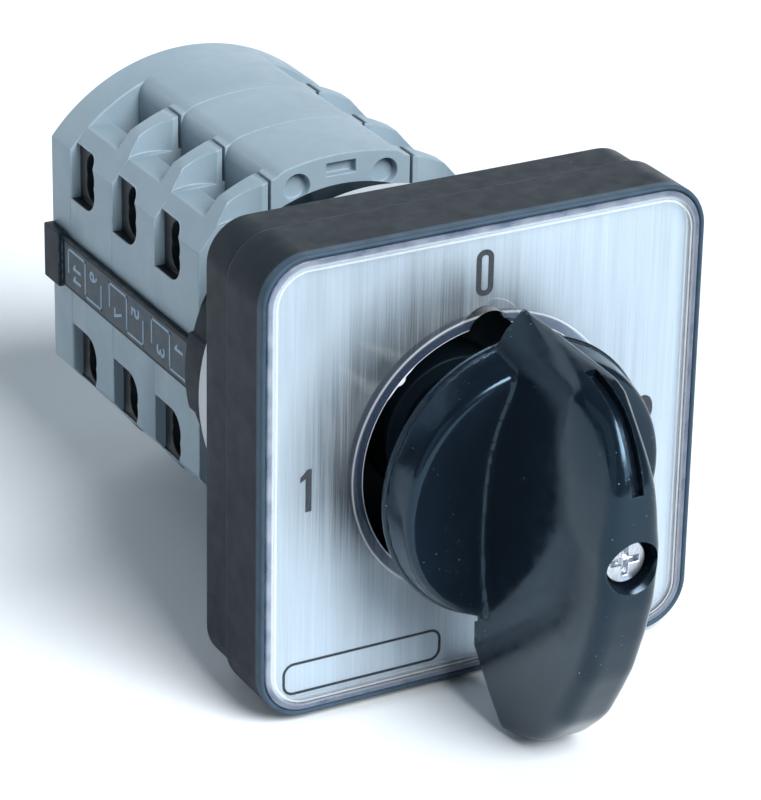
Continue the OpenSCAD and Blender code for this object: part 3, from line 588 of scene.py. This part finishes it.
PLASTICS = {
    "black_plastic": dict(
        colour=(0.004, 0.008, 0.012), shade=(0.007, 0.012, 0.017), rough=0.42, height=0.02,
        wear=(0.32, 0.38, 0.44), wear_share=0.75, gloss=0.1, glint=(0.6, 0.85, 1.0),
        # The frame's patch is a pale reflection painted on its foremost edge
        worn_beyond=OPENING_R + 1, painted_light_patch=(front_rim, (0.050, 0.080, 0.115))),
    "gloss_black_plastic": dict(
        colour=(0.003, 0.006, 0.011), shade=(0.006, 0.011, 0.018), rough=0.15, height=0.003,
        wear=(0.10, 0.11, 0.13), dust=0.6, gloss=0.55, glint=(0.5, 0.78, 1.0)),
    # The body's patch is painted shade inside the wire slots
    "body_plastic": dict(
        colour=(0.216, 0.286, 0.334), shade=(0.256, 0.328, 0.382), rough=0.46,
        wear=(0.50, 0.62, 0.72), wear_share=0.5, gloss=0.35, painted_light_patch=(wire_slots, (0.012, 0.015, 0.018))),
    "light_grey_plastic": dict(
        colour=(0.40, 0.42, 0.45), shade=(0.46, 0.48, 0.51), rough=0.42, wear=(0.62, 0.65, 0.68)),
    "nylon": dict(
        colour=(0.70, 0.68, 0.58), shade=(0.76, 0.74, 0.64), rough=0.5, wear=(0.85, 0.84, 0.78)),
    "carrier_plastic": dict(colour=(0.05, 0.05, 0.055), shade=(0.06, 0.06, 0.065), rough=0.5),
}
METALS = {
    "zinc_steel": dict(
        colour=(0.72, 0.75, 0.80), dark=(0.50, 0.53, 0.58), rough=0.26, stretch=(1, 0.3, 0.3)),
    "contact_brass": dict(
        colour=(0.78, 0.52, 0.30), dark=(0.60, 0.36, 0.20), rough=0.3, stretch=(0.2, 1, 1)),
}
MATERIALS = {name: moulded_plastic(name, **look) for name, look in PLASTICS.items()}
MATERIALS |= {name: brushed_metal(name, **look) for name, look in METALS.items()}
MATERIALS["clear_plastic"] = clear_plastic("clear_plastic")
MATERIALS["legend_aluminium"] = legend_metal("legend_aluminium")
DARK_INK = printed_ink("dark_ink", (0.010, 0.014, 0.022), (0.020, 0.025, 0.034))
PALE_INK = printed_ink("pale_ink", (0.20, 0.29, 0.40), (0.27, 0.36, 0.46))
LABEL = printed_ink("strip_label", (0.045, 0.060, 0.075), (0.060, 0.078, 0.095))


# Mesh helpers

def link_object(name, mesh):
    obj = bpy.data.objects.new(name, mesh)
    bpy.context.scene.collection.objects.link(obj)
    return obj


def add_piece(name, mesh, material, body, stands_for=None):
    """Puts a finished mesh in the scene, riding on a body."""
    mesh.materials.clear()
    mesh.materials.append(material)
    obj = link_object(name, mesh)
    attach(obj, body)
    if stands_for:
        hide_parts(stands_for)


def evaluated_mesh(obj):
    """The object's mesh with its modifiers applied; the object goes."""
    depsgraph = bpy.context.evaluated_depsgraph_get()
    mesh = bpy.data.meshes.new_from_object(obj.evaluated_get(depsgraph))
    bpy.data.objects.remove(obj)
    return mesh


def moved(mesh, at):
    mesh.transform(Matrix.Translation(Vector(at) * MM))
    return mesh


def joined(name, meshes):
    bm = bmesh.new()
    for mesh in meshes:
        bm.from_mesh(mesh)
    whole = bpy.data.meshes.new(name)
    bm.to_mesh(whole)
    bm.free()
    return whole


def mesh_from(name, points, faces):
    """A mesh from points in millimetres, its faces turned outwards."""
    bm = bmesh.new()
    verts = [bm.verts.new([c * MM for c in p]) for p in points]
    for face in faces:
        bm.faces.new([verts[i] for i in face])
    bmesh.ops.remove_doubles(bm, verts=bm.verts, dist=0.001 * MM)
    bmesh.ops.recalc_face_normals(bm, faces=bm.faces)
    mesh = bpy.data.meshes.new(name)
    bm.to_mesh(mesh)
    bm.free()
    return mesh


def turned_mesh(profile, sides=96):
    """A closed profile of (radius, y) turned about the Y axis."""
    rows = len(profile)
    points, faces = [], []
    for i in range(sides):
        angle = 2 * math.pi * i / sides
        points += [(r * math.sin(angle), y, r * math.cos(angle)) for r, y in profile]
        j = (i + 1) % sides
        faces += [(i * rows + k, i * rows + (k + 1) % rows, j * rows + (k + 1) % rows, j * rows + k)
                  for k in range(rows)]
    return mesh_from("turned", points, faces)


def rod_mesh(profile):
    """A turned solid closed by the Y axis."""
    return turned_mesh([(0.0, profile[0][1])] + profile + [(0.0, profile[-1][1])])


def cut_with(mesh, cutters):
    """A mesh with closed meshes cut out of it."""
    obj = link_object("cut", mesh)
    tools = [link_object("cutter", cutter) for cutter in cutters]
    for tool in tools:
        cut = obj.modifiers.new("cut", "BOOLEAN")
        cut.operation = "DIFFERENCE"
        cut.solver = "EXACT"
        cut.object = tool
    result = evaluated_mesh(obj)
    for tool in tools:
        bpy.data.objects.remove(tool)
    return result


# Rounded copies of the visible CAD nodes, with the width of their rounding

ROUNDED = {
    "front_frame": 0.34, "rear_frame": 0.4, "clear_cover": 0.18, "mounting_disc": 0.35,
    "latch_housing": 0.3, "rear_cover": 0.35, "number_strip_left": 0.25, "number_strip_right": 0.25,
    "stage_housing_1": 0.16, "stage_housing_2": 0.16, "stage_housing_3": 0.16,
    "handle_screw": 0.2, "tie_bolts": 0.2, "frame_screws": 0.2,
}


def solid_copy(source):
    """A merged copy of a CAD node's loose triangles, with flat faces made whole."""
    bm = bmesh.new()
    bm.from_mesh(source.data)
    bmesh.ops.remove_doubles(bm, verts=bm.verts, dist=0.002 * MM)
    bmesh.ops.dissolve_limit(bm, angle_limit=rad(0.8), verts=bm.verts, edges=bm.edges)
    mesh = bpy.data.meshes.new(source.name + "_copy")
    bm.to_mesh(mesh)
    bm.free()
    return mesh


def has_room(edge, width):
    """Whether both faces at an edge, and the edges at its ends, can give up a strip of this width."""
    if any(face.calc_area() < FACE_SHARE * width * edge.calc_length() for face in edge.link_faces):
        return False
    for vert in edge.verts:
        along = (edge.other_vert(vert).co - vert.co).normalized()
        for face in edge.link_faces:
            for other in face.edges:
                if other is edge or vert not in other.verts:
                    continue
                away = other.other_vert(vert).co - vert.co
                turn = away.normalized().dot(along)
                short = away.length < LENGTH_SHARE * width
                if turn > ACUTE_COSINE or (turn > STRAIGHT_COSINE and short):
                    return False
    return True


def rounded_mesh(source, width):
    """A copy of a CAD node with its sharp edges rounded wherever there is room."""
    mesh = solid_copy(source)
    bm = bmesh.new()
    bm.from_mesh(mesh)
    weight = bm.edges.layers.float.new("bevel_weight_edge")
    least, most = [rad(angle) for angle in EDGE_ANGLES]
    for edge in bm.edges:
        if len(edge.link_faces) == 2 and least < edge.calc_face_angle() < most:
            edge[weight] = float(has_room(edge, width * MM))
    bm.to_mesh(mesh)
    bm.free()
    mesh.shade_smooth()
    obj = link_object("rounding", mesh)
    bevel = obj.modifiers.new("bevel", "BEVEL")
    bevel.width = width * MM
    bevel.segments = 2
    bevel.limit_method = "WEIGHT"
    bevel.use_clamp_overlap = False
    rounded = evaluated_mesh(obj)
    rounded.set_sharp_from_angle(angle=rad(50))
    obj = link_object("shading", rounded)
    weighted = obj.modifiers.new("weighted", "WEIGHTED_NORMAL")
    weighted.weight = 100
    weighted.keep_sharp = True
    return evaluated_mesh(obj)


def clear_of_legend(mesh):
    """Lifts the cover's rear face off the legend plate, so that its printing has room."""
    for vert in mesh.vertices:
        if abs(vert.co.y - Y_LEGEND * MM) < 0.01 * MM:
            vert.co.y -= COVER_GAP * MM
    return mesh


def round_cad_nodes(slots):
    """The visible moulded nodes get the small radii that a mould leaves."""
    for name, width in ROUNDED.items():
        source = frame["nodes"][name]
        mesh = rounded_mesh(source, width)
        if name == "clear_cover":
            mesh = clear_of_legend(mesh)
        slot = slots[name]
        add_piece(name + "_rounded", mesh, MATERIALS[slot], body_of(source)[0], name)


def dress_cad_nodes(slots):
    """Every CAD node takes the material of its slot."""
    for name, obj in frame["nodes"].items():
        obj.data.materials.clear()
        obj.data.materials.append(MATERIALS[slots[name]])


# Handle

def smooth_max(a, b, k):
    """The larger of two distances, with a soft change from one to the other of width k."""
    h = np.clip(0.5 + 0.5 * (a - b) / k, 0, 1)
    return b + (a - b) * h + k * h * (1 - h)


def smooth_min(a, b, k):
    return -smooth_max(-a, -b, k)


def right_of(u, v, start, end):
    """Distance in a plane to the right of the line from start to end."""
    du, dv = end[0] - start[0], end[1] - start[1]
    return (dv * (u - start[0]) - du * (v - start[1])) / math.hypot(du, dv)


def beyond(u, v, at, direction):
    """Distance in a plane beyond a point, along a direction."""
    return (u - at[0]) * direction[0] + (v - at[1]) * direction[1]


def skirt_field(x, y, z):
    """Round skirt with a rounded shoulder, hollowed on both sides of the grip."""
    taper = (SKIRT_REAR_R - SKIRT_FRONT_R) / (SKIRT_REAR_Y - SKIRT_FRONT_Y)
    radial = np.hypot(x, z) - (SKIRT_REAR_R - (SKIRT_REAR_Y - y) * taper)
    field = smooth_max(radial, SKIRT_FRONT_Y - y, SHOULDER_R)
    side = np.maximum(np.abs(x) - HOLLOW_FROM_X, 0)
    hollow_y = HOLLOW_Y - HOLLOW_BOW_Z * (z - HOLLOW_MID_Z) ** 2 - HOLLOW_BOW_X * side ** 2
    field = smooth_max(field, (hollow_y - y) * HOLLOW_STEEPNESS, HOLLOW_R)
    return np.maximum(field, y - SKIRT_REAR_Y - SKIRT_OVERLAP)


def smoothed_crest():
    """The crest's points joined and smoothed: heights, how far forward they reach, and the slope there."""
    heights = np.arange(CREST_AT[0][0], CREST_AT[-1][0], CREST_STEP)
    reach = np.interp(heights, *zip(*CREST_AT))
    ends = CREST_SMOOTHING // 2
    for _ in range(2):
        reach[ends:-ends] = np.convolve(reach, np.ones(CREST_SMOOTHING) / CREST_SMOOTHING, "valid")
    return heights, reach, np.gradient(reach, heights)


CREST_Z, CREST_Y, CREST_SLOPE = smoothed_crest()


def crest_y(z):
    """The grip's crest seen from the side: how far forward it reaches at a height."""
    return np.interp(z, CREST_Z, CREST_Y)


def crest_slope(z):
    return np.interp(z, CREST_Z, CREST_SLOPE)


def crest_field(y, z):
    """Distance in front of the crest, which runs on straight beyond its ends."""
    at = np.clip(z, *CREST_ENDS_Z)
    slope = crest_slope(at)
    return (crest_y(at) + slope * (z - at) - y) / np.sqrt(1 + slope ** 2)


def grip_field(x, y, z):
    """Grip: flat flanks, sides that lean in to the crest, a pointed tip and a blunt tail."""
    wide = np.abs(x)
    flank_end = np.interp(z, *zip(*FLANK_END_AT))
    top = crest_y(np.clip(z, *LEAN_ENDS_Z))
    step = GRIP_HALF_W - np.interp(z, *zip(*CREST_HALF_W))
    lean = (wide - GRIP_HALF_W) * (flank_end - top) + (flank_end - y) * step
    lean = lean / np.hypot(flank_end - top, step)
    field = smooth_max(wide - GRIP_HALF_W, right_of(wide, z, *FLANK_TAPER), FLANK_SOFT)
    field = smooth_max(field, lean, LEAN_SOFT)
    field = smooth_max(field, crest_field(y, z), np.interp(z, *zip(*CREST_SOFT)))
    field = smooth_max(field, beyond(y, z, *TIP_TOP), TIP_TOP_SOFT)
    field = smooth_max(field, right_of(wide, z, *TIP_SIDE), TIP_SIDE_SOFT)
    field = smooth_max(field, beyond(y, z, *TAIL_FRONT), TAIL_FRONT_SOFT)
    field = smooth_max(field, right_of(y, z, *TAIL_REAR), TAIL_REAR_SOFT)
    field = smooth_max(field, beyond(y, z, *TAIL_END), TAIL_END_SOFT)
    return np.where(z > TAIL_FREE_Z, np.maximum(field, y - SKIRT_REAR_Y - SKIRT_OVERLAP), field)


def handle_field(x, y, z):
    return smooth_min(skirt_field(x, y, z), grip_field(x, y, z), GRIP_FOOT_SOFT)


def surface_of(field, low, high, step):
    """Quads of a field's zero surface on a regular grid."""
    counts = [int(math.ceil((b - a) / step)) + 1 for a, b in zip(low, high)]
    axes = [a + step * np.arange(n) for a, n in zip(low, counts)]
    values = field(*np.meshgrid(*axes, indexing="ij"))
    cells = [n - 1 for n in counts]
    centre, weight = np.zeros(cells + [3]), np.zeros(cells)
    near, far = slice(0, -1), slice(1, None)
    for axis in range(3):
        u, v = [a for a in range(3) if a != axis]
        for i, j in ((0, 0), (0, 1), (1, 0), (1, 1)):
            start = [near, near, near]
            start[u], start[v] = (near, far)[i], (near, far)[j]
            end = list(start)
            end[axis] = far
            a, b = values[tuple(start)], values[tuple(end)]
            crossed = (a < 0) != (b < 0)
            share = np.where(crossed, a / np.where(crossed, a - b, 1), 0)
            for place, offset in ((axis, share), (u, i), (v, j)):
                centre[..., place] += offset * crossed
            weight += crossed
    active = weight > 0
    index = np.full(active.shape, -1)
    index[active] = np.arange(active.sum())
    points = np.array(low) + step * (np.argwhere(active) + centre[active] / weight[active][:, None])
    inside = values < 0
    quads = []
    for axis in range(3):
        u, v = ((1, 2), (2, 0), (0, 1))[axis]
        start = [slice(1, -1)] * 3
        start[axis] = near
        end = list(start)
        end[axis] = far
        at = np.argwhere(inside[tuple(start)] != inside[tuple(end)]) + [int(k != axis) for k in range(3)]
        corners = []
        for du, dv in ((1, 1), (0, 1), (0, 0), (1, 0)):
            cell = at.copy()
            cell[:, u] -= du
            cell[:, v] -= dv
            corners.append(index[tuple(cell.T)])
        quads.append(np.stack(corners, 1))
    return points, np.concatenate(quads)


def settled(field, points, rounds=3, small=0.02, longest_move=0.3, least_slope=0.05):
    """Moves points along the field's slope onto its zero surface."""
    for _ in range(rounds):
        slope = np.stack([(field(*(points + small * e).T) - field(*(points - small * e).T)) / (2 * small)
                          for e in np.eye(3)], 1)
        size = np.maximum((slope ** 2).sum(1), least_slope)
        move = np.clip(field(*points.T) / size, -longest_move, longest_move)
        points = points - slope * move[:, None]
    return points


def slot_cutter(count=25):
    """A bar for the indicator slot, which follows the crest and stands out of it."""
    points, faces = [], []
    for z in np.linspace(SLOT_FROM_Z, SLOT_TO_Z, count):
        slope = crest_slope(z)
        size = math.hypot(1, slope)
        for reach in (-SLOT_DEPTH, CUTTER_PROUD):
            y, height = crest_y(z) - reach / size, z + reach * slope / size
            points += [(x, y, height) for x in (-SLOT_HALF_W, SLOT_HALF_W)]
    for i in range(count - 1):
        a, b = 4 * i, 4 * i + 4
        faces += [(a + p, a + q, b + q, b + p) for p, q in ((0, 1), (1, 3), (3, 2), (2, 0))]
    faces += [(0, 2, 3, 1), tuple(4 * (count - 1) + k for k in (0, 1, 3, 2))]
    return mesh_from("slot", points, faces)


def rim_mesh():
    """Bead behind the skirt, the handle's rear face and its hub, with the socket for the shaft."""
    bead_front = Y_SKIRT - BEAD_D
    inner_r, inner_y = SKIRT_REAR_R - BEAD_ROUND, bead_front - BEAD_TUCK
    return turned_mesh([
        (SOCKET_HALF_W, Y_SKIRT), (SOCKET_HALF_W, HUB_END_Y), (HUB_R - HUB_ROUND, HUB_END_Y),
        (HUB_R, HUB_END_Y - HUB_ROUND), (HUB_R, Y_SKIRT + HUB_FOOT), (HUB_R + HUB_FOOT, Y_SKIRT),
        (BEAD_R - BEAD_ROUND, Y_SKIRT), (BEAD_R, Y_SKIRT - BEAD_ROUND), (BEAD_R, bead_front + BEAD_ROUND),
        (BEAD_R - BEAD_FRONT_ROUND, bead_front), (inner_r, bead_front - BEAD_FRONT_SLANT), (inner_r, inner_y),
        (SOCKET_HALF_W, inner_y)], sides=144)


def build_handle():
    """The glossy handle: grip and skirt as one moulding, its bead, hub and bores."""
    points, quads = surface_of(handle_field, HANDLE_LOW, HANDLE_HIGH, GRID_STEP)
    moulding = mesh_from("moulding", settled(handle_field, points).tolist(), quads.tolist())
    bore = rod_mesh([(SCREW_HOLE_R, SCREW_SEAT_Y), (SCREW_HOLE_R, crest_y(0) - CUTTER_PROUD)])
    moulding = cut_with(moulding, [bore, slot_cutter()])
    mesh = joined("handle_shell", [moulding, rim_mesh()])
    mesh.shade_smooth()
    mesh.set_sharp_from_angle(angle=rad(38))
    slot = "gloss_black_plastic"
    add_piece("handle_shell", mesh, MATERIALS[slot], "rotor", "handle")


# Springs

def wound_mesh(low, high, steps=24, sides=8):
    """A coil of wire standing along Z in a box of two corners in metres."""
    low, high = Vector(low) / MM, Vector(high) / MM
    middle = (low + high) / 2
    coil_r = (high.x - low.x) / 2 - WIRE_R
    count = SPRING_TURNS * steps
    points, faces = [], []
    for i in range(count + 1):
        turn = 2 * math.pi * i / steps
        rise = low.z + WIRE_R + (high.z - low.z - 2 * WIRE_R) * i / count
        for k in range(sides):
            side = 2 * math.pi * k / sides
            r = coil_r + WIRE_R * math.cos(side)
            x, y = middle.x + r * math.cos(turn), middle.y + r * math.sin(turn)
            points.append((x, y, rise + WIRE_R * math.sin(side)))
    for i in range(count):
        near, far = i * sides, (i + 1) * sides
        faces += [(near + k, far + k, far + (k + 1) % sides, near + (k + 1) % sides) for k in range(sides)]
    faces += [tuple(range(sides)), tuple(range(count * sides, (count + 1) * sides))]
    return mesh_from("wound", points, faces)


def build_spring(node, body):
    """A spring between what slides and the housing: its inner end moves, its outer end stays."""
    low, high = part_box(node)
    mesh = wound_mesh(low, high)
    mesh.shade_smooth()
    mesh.materials.append(MATERIALS["zinc_steel"])
    obj = link_object(node + "_wound", mesh)
    inner, outer = sorted((low.z, high.z), key=abs)
    x, y, _ = (low + high) / 2
    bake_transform(obj, body, "switch_body", start=(x, y, inner), end=(x, y, outer))
    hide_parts(node)


# Markings

def text_mesh(text, width, height, depth, bold):
    """Digits as a solid mesh of a given size in millimetres, centred, facing -Y."""
    curve = bpy.data.curves.new("digits", "FONT")
    curve.body = text
    curve.size = 10.0
    curve.offset = bold
    curve.extrude = 0.5
    curve.resolution_u = 6
    mesh = evaluated_mesh(link_object("digits", curve))
    co = np.empty(len(mesh.vertices) * 3)
    mesh.vertices.foreach_get("co", co)
    co = co.reshape(-1, 3)
    low, high = co.min(0), co.max(0)
    co = (co - (low + high) / 2) * np.array([width, height, depth]) / (high - low)
    place = np.stack([co[:, 0], -co[:, 2], co[:, 1]], 1)
    mesh.vertices.foreach_set("co", (place * MM).ravel())
    mesh.update()
    return mesh


def plate_mesh(outline, depth):
    """A flat plate from its outline of (u, z), centred on y = 0, facing -Y."""
    count = len(outline)
    points = [(u, y, z) for y in (-depth / 2, depth / 2) for u, z in outline]
    faces = [list(range(count)), [2 * count - 1 - i for i in range(count)]]
    faces += [(i, i + count, (i + 1) % count + count, (i + 1) % count) for i in range(count)]
    return mesh_from("plate", points, faces)


def one_mesh(width, height, stroke, depth):
    """The digit 1: a stem with a flag that falls to the left."""
    right, top = width / 2, height / 2
    return plate_mesh([
        (right, -top), (right, top), (right - 0.75 * stroke, top),
        (right - 1.2 * stroke, top - 0.55 * stroke), (-right, top - 1.15 * stroke),
        (-right, top - 1.95 * stroke), (right - stroke, top - 1.45 * stroke),
        (right - stroke, -top)], depth)


def number_mesh(number, width, height, depth, bold):
    """A number, digit by digit, centred; the width is that of one digit."""
    text = str(number)
    meshes = []
    for i, digit in enumerate(text):
        if digit == "1":
            glyph = one_mesh(ONE_W_SHARE * width, height, ONE_STROKE_SHARE * width, depth)
        else:
            glyph = text_mesh(digit, width, height, depth, bold)
        meshes.append(moved(glyph, ((i - (len(text) - 1) / 2) * DIGIT_PITCH_SHARE * width, 0, 0)))
    return joined("digits", meshes)


def outline_mesh(width, height, radius, line, depth, steps=8):
    """A closed outline with round corners, centred, facing -Y."""
    points, faces = [], []
    for inset in (0.0, line):
        for y in (-depth / 2, depth / 2):
            r = radius - inset
            for cx, cz, start in ((1, 1, 0), (-1, 1, 90), (-1, -1, 180), (1, -1, 270)):
                for i in range(steps + 1):
                    a = rad(start + 90 * i / steps)
                    points.append((cx * (width / 2 - radius) + r * math.cos(a), y,
                                   cz * (height / 2 - radius) + r * math.sin(a)))
    count = 4 * (steps + 1)
    for a, b in ((0, 1), (1, 3), (3, 2), (2, 0)):
        faces += [(a * count + i, a * count + (i + 1) % count, b * count + (i + 1) % count, b * count + i)
                  for i in range(count)]
    return mesh_from("outline", points, faces)


def bars_mesh(bars, depth):
    """Flat bars of (u from, u to, z from, z to), facing -Y."""
    box_faces = ((0, 1, 2, 3), (4, 7, 6, 5), (0, 4, 5, 1), (1, 5, 6, 2), (2, 6, 7, 3), (3, 7, 4, 0))
    points, faces = [], []
    for u0, u1, z0, z1 in bars:
        first = len(points)
        corners = ((u0, z0), (u1, z0), (u1, z1), (u0, z1))
        points += [(u, y, z) for y in (-depth / 2, depth / 2) for u, z in corners]
        faces += [[first + k for k in face] for face in box_faces]
    return mesh_from("bars", points, faces)


def build_legend_marks():
    """Position digits and an empty outlined field, printed on the legend plate."""
    depth = LEGEND_PRINT_D
    y = Y_LEGEND - depth / 2
    nought = outline_mesh(width=2.5, height=6.3, radius=1.2, line=0.75, depth=depth)
    one = one_mesh(width=1.6, height=DIGIT_H, stroke=0.85, depth=depth)
    two = text_mesh("2", width=2.9, height=DIGIT_H, depth=depth, bold=0.35)
    field = outline_mesh(width=23.2, height=4.6, radius=1.6, line=0.35, depth=depth)
    meshes = [
        moved(nought, (0, y, 24.4)),
        moved(one, (-25.1, y, SIDE_DIGITS_Z)),
        moved(two, (24.9, y, SIDE_DIGITS_Z)),
        moved(field, (-16.6, y, -27.1)),
    ]
    add_piece("legend_marks", joined("legend_marks", meshes), DARK_INK, "switch_body")


def make_row_tree():
    """Geometry nodes that repeat a piece along Y; ends as one mesh with a material."""
    tree = bpy.data.node_groups.new("row_along_y", "GeometryNodeTree")
    sockets = {}
    for label, kind in (("Geometry", "NodeSocketGeometry"), ("Count", "NodeSocketInt"),
                        ("Pitch", "NodeSocketFloat"), ("Material", "NodeSocketMaterial")):
        sockets[label] = tree.interface.new_socket(label, in_out="INPUT", socket_type=kind).identifier
    tree.interface.new_socket("Geometry", in_out="OUTPUT", socket_type="NodeSocketGeometry")
    start, end = tree.nodes.new("NodeGroupInput"), tree.nodes.new("NodeGroupOutput")
    line = tree.nodes.new("GeometryNodeMeshLine")
    step = tree.nodes.new("ShaderNodeCombineXYZ")
    copies = tree.nodes.new("GeometryNodeInstanceOnPoints")
    real = tree.nodes.new("GeometryNodeRealizeInstances")
    paint = tree.nodes.new("GeometryNodeSetMaterial")
    for source, target in (
            (start.outputs["Count"], line.inputs["Count"]),
            (start.outputs["Pitch"], step.inputs["Y"]),
            (step.outputs["Vector"], line.inputs["Offset"]),
            (line.outputs["Mesh"], copies.inputs["Points"]),
            (start.outputs["Geometry"], copies.inputs["Instance"]),
            (copies.outputs["Instances"], real.inputs["Geometry"]),
            (real.outputs["Geometry"], paint.inputs["Geometry"]),
            (start.outputs["Material"], paint.inputs["Material"]),
            (paint.outputs["Geometry"], end.inputs["Geometry"])):
        tree.links.new(source, target)
    return tree, sockets


ROW_TREE, ROW_SOCKETS = make_row_tree()


def repeated(mesh, count, pitch, material):
    """One mesh of several copies, a pitch in millimetres apart along Y."""
    obj = link_object("row", mesh)
    row = obj.modifiers.new("row", "NODES")
    row.node_group = ROW_TREE
    row[ROW_SOCKETS["Count"]] = count
    row[ROW_SOCKETS["Pitch"]] = pitch * MM
    row[ROW_SOCKETS["Material"]] = material
    return evaluated_mesh(obj)


def onto_strip(mesh, side, lift):
    """Lays a drawing of (along, outwards, up) on a number strip; side is -1 for the left, 1 for the right."""
    x = (BODY_HALF_W + STRIP_PROUD + lift) * MM
    mesh.transform(Matrix(((0, -side, 0, side * x), (1, 0, 0, 0), (0, 0, 1, 0), (0, 0, 0, 1))))
    if side < 0:
        mesh.flip_normals()
    return mesh


def build_strip_marks(side):
    """The number strip's label, its wiring lines and its terminal numbers.

    A stage has four terminals: two odd numbers on the left strip and two even ones on the right.
    """
    name = "number_strip_left" if side < 0 else "number_strip_right"
    top, line, depth = STRIP_LINE_Z, STRIP_LINE, STRIP_PRINT_D
    on_label = 1.5 * depth
    front, middle, rear = [Y_STAGES + y for y in STRIP_LINES_Y]
    label_z = top + LABEL_MARGIN
    label = bars_mesh([(Y_STAGES + LABEL_FROM_Y, Y_REAR, -label_z, label_z)], depth)
    add_piece(name + "_label", onto_strip(label, side, depth / 2), LABEL, "switch_body")
    path = bars_mesh([
        (rear - line, rear, -STRIP_STUB_Z, top), (middle, rear, top - line, top),
        (middle, middle + line, -top, top), (front, middle + line, -top, line - top),
        (front, front + line, -top, STRIP_STUB_Z)], depth)
    meshes = [repeated(onto_strip(path, side, on_label), len(STAGES), STAGE_D, PALE_INK)]
    for stage in STAGES:
        first = 4 * (stage - 1) + (1 if side < 0 else 2)
        for at, way, number in (((rear + middle) / 2, -1, first + 2), ((middle + front) / 2, 1, first)):
            text = number_mesh(number, NUMBER_W, NUMBER_H, depth, bold=0.15)
            text.transform(Matrix.Rotation(rad(90), 4, "Y"))
            height = top - NUMBER_MARGIN - NUMBER_W / 2 * len(str(number))
            text = moved(text, (at + (stage - 1) * STAGE_D, 0, way * height))
            meshes.append(onto_strip(text, side, on_label))
    marks = joined("marks", meshes)
    add_piece(name + "_marks", marks, PALE_INK, "switch_body")


# Camera, floor and lights

def make_camera():
    camera = bpy.data.cameras.new("camera")
    camera.lens = CAMERA_LENS
    camera.sensor_width = 36.0
    camera.clip_start = 0.01
    camera.clip_end = 20.0
    obj = link_object("camera", camera)
    turn = (Matrix.Rotation(-rad(CAMERA_AZIMUTH), 4, "Z")
            @ Matrix.Rotation(rad(90 - CAMERA_ELEVATION), 4, "X")
            @ Matrix.Rotation(rad(CAMERA_ROLL), 4, "Z"))
    obj.matrix_world = Matrix.Translation(Vector(CAMERA_AT) * MM) @ turn
    bpy.context.scene.camera = obj


def make_floor():
    """A plain pale floor that curves up behind the object; its own sizes are in metres."""
    rows, half_w, depth, radius, top = 24, 3.0, 1.6, 0.8, 3.0
    path = [(-depth, 0.0)]
    for i in range(rows + 1):
        angle = rad(90) * i / rows
        path.append((depth + radius * math.sin(angle), radius * (1 - math.cos(angle))))
    path.append((depth + radius, top))
    mesh = bpy.data.meshes.new("floor")
    verts = [(x, y, z + FLOOR_Z * MM) for y, z in path for x in (-half_w, half_w)]
    mesh.from_pydata(verts, [], [(2 * i, 2 * i + 1, 2 * i + 3, 2 * i + 2) for i in range(len(path) - 1)])
    mesh.update()
    made, tree, shader = new_material("floor")
    shader.inputs["Base Color"].default_value = (0.86, 0.88, 0.90, 1)
    shader.inputs["Roughness"].default_value = 0.8
    mesh.materials.append(made)
    link_object("floor", mesh)


def add_light(name, kind, power, colour):
    light = bpy.data.lights.new(name, kind)
    light.energy = power
    light.color = colour
    return light, link_object(name, light)


def area_light(name, at, size, power, colour):
    """A soft square light that faces the object; at and size are in metres."""
    light, obj = add_light(name, "AREA", power, colour)
    light.shape = "SQUARE"
    light.size = size
    aim = (-Vector(at)).to_track_quat("-Z", "Y")
    obj.matrix_world = Matrix.Translation(Vector(at)) @ aim.to_matrix().to_4x4()


def make_light():
    """Soft light from above in front, and two weak lights, one from the left and one from the front."""
    world = bpy.data.worlds.new("world")
    world.use_nodes = True
    background = world.node_tree.nodes["Background"]
    background.inputs["Color"].default_value = (0.60, 0.82, 1.0, 1)
    background.inputs["Strength"].default_value = 0.13
    bpy.context.scene.world = world
    bpy.context.scene.view_settings.view_transform = "Standard"
    light, obj = add_light("overhead", "SUN", power=4.9, colour=(0.95, 0.98, 1.0))
    light.angle = rad(36)
    aim = Vector((-0.17, 0.72, -0.67)).to_track_quat("-Z", "Y")
    obj.matrix_world = aim.to_matrix().to_4x4()
    area_light("side", at=(-0.8, -0.25, 0.35), size=0.7, power=0.6, colour=(0.80, 0.92, 1.0))
    area_light("front", at=(0.25, -0.8, 0.35), size=0.4, power=1.5, colour=(0.85, 0.94, 1.0))


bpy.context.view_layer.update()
material_slots = {s["node"]: s["material_slot"] for s in frame["record"]["subparts"]}
make_camera()
make_floor()
make_light()
dress_cad_nodes(material_slots)
round_cad_nodes(material_slots)
build_handle()
for half in ("upper", "lower"):
    build_spring("detent_spring_" + half, "detent_" + half)
    for stage_number in STAGES:
        build_spring(f"contact_spring_{half}_{stage_number}", f"bridge_{half}_{stage_number}")
build_legend_marks()
for strip_side in (-1, 1):
    build_strip_marks(strip_side)
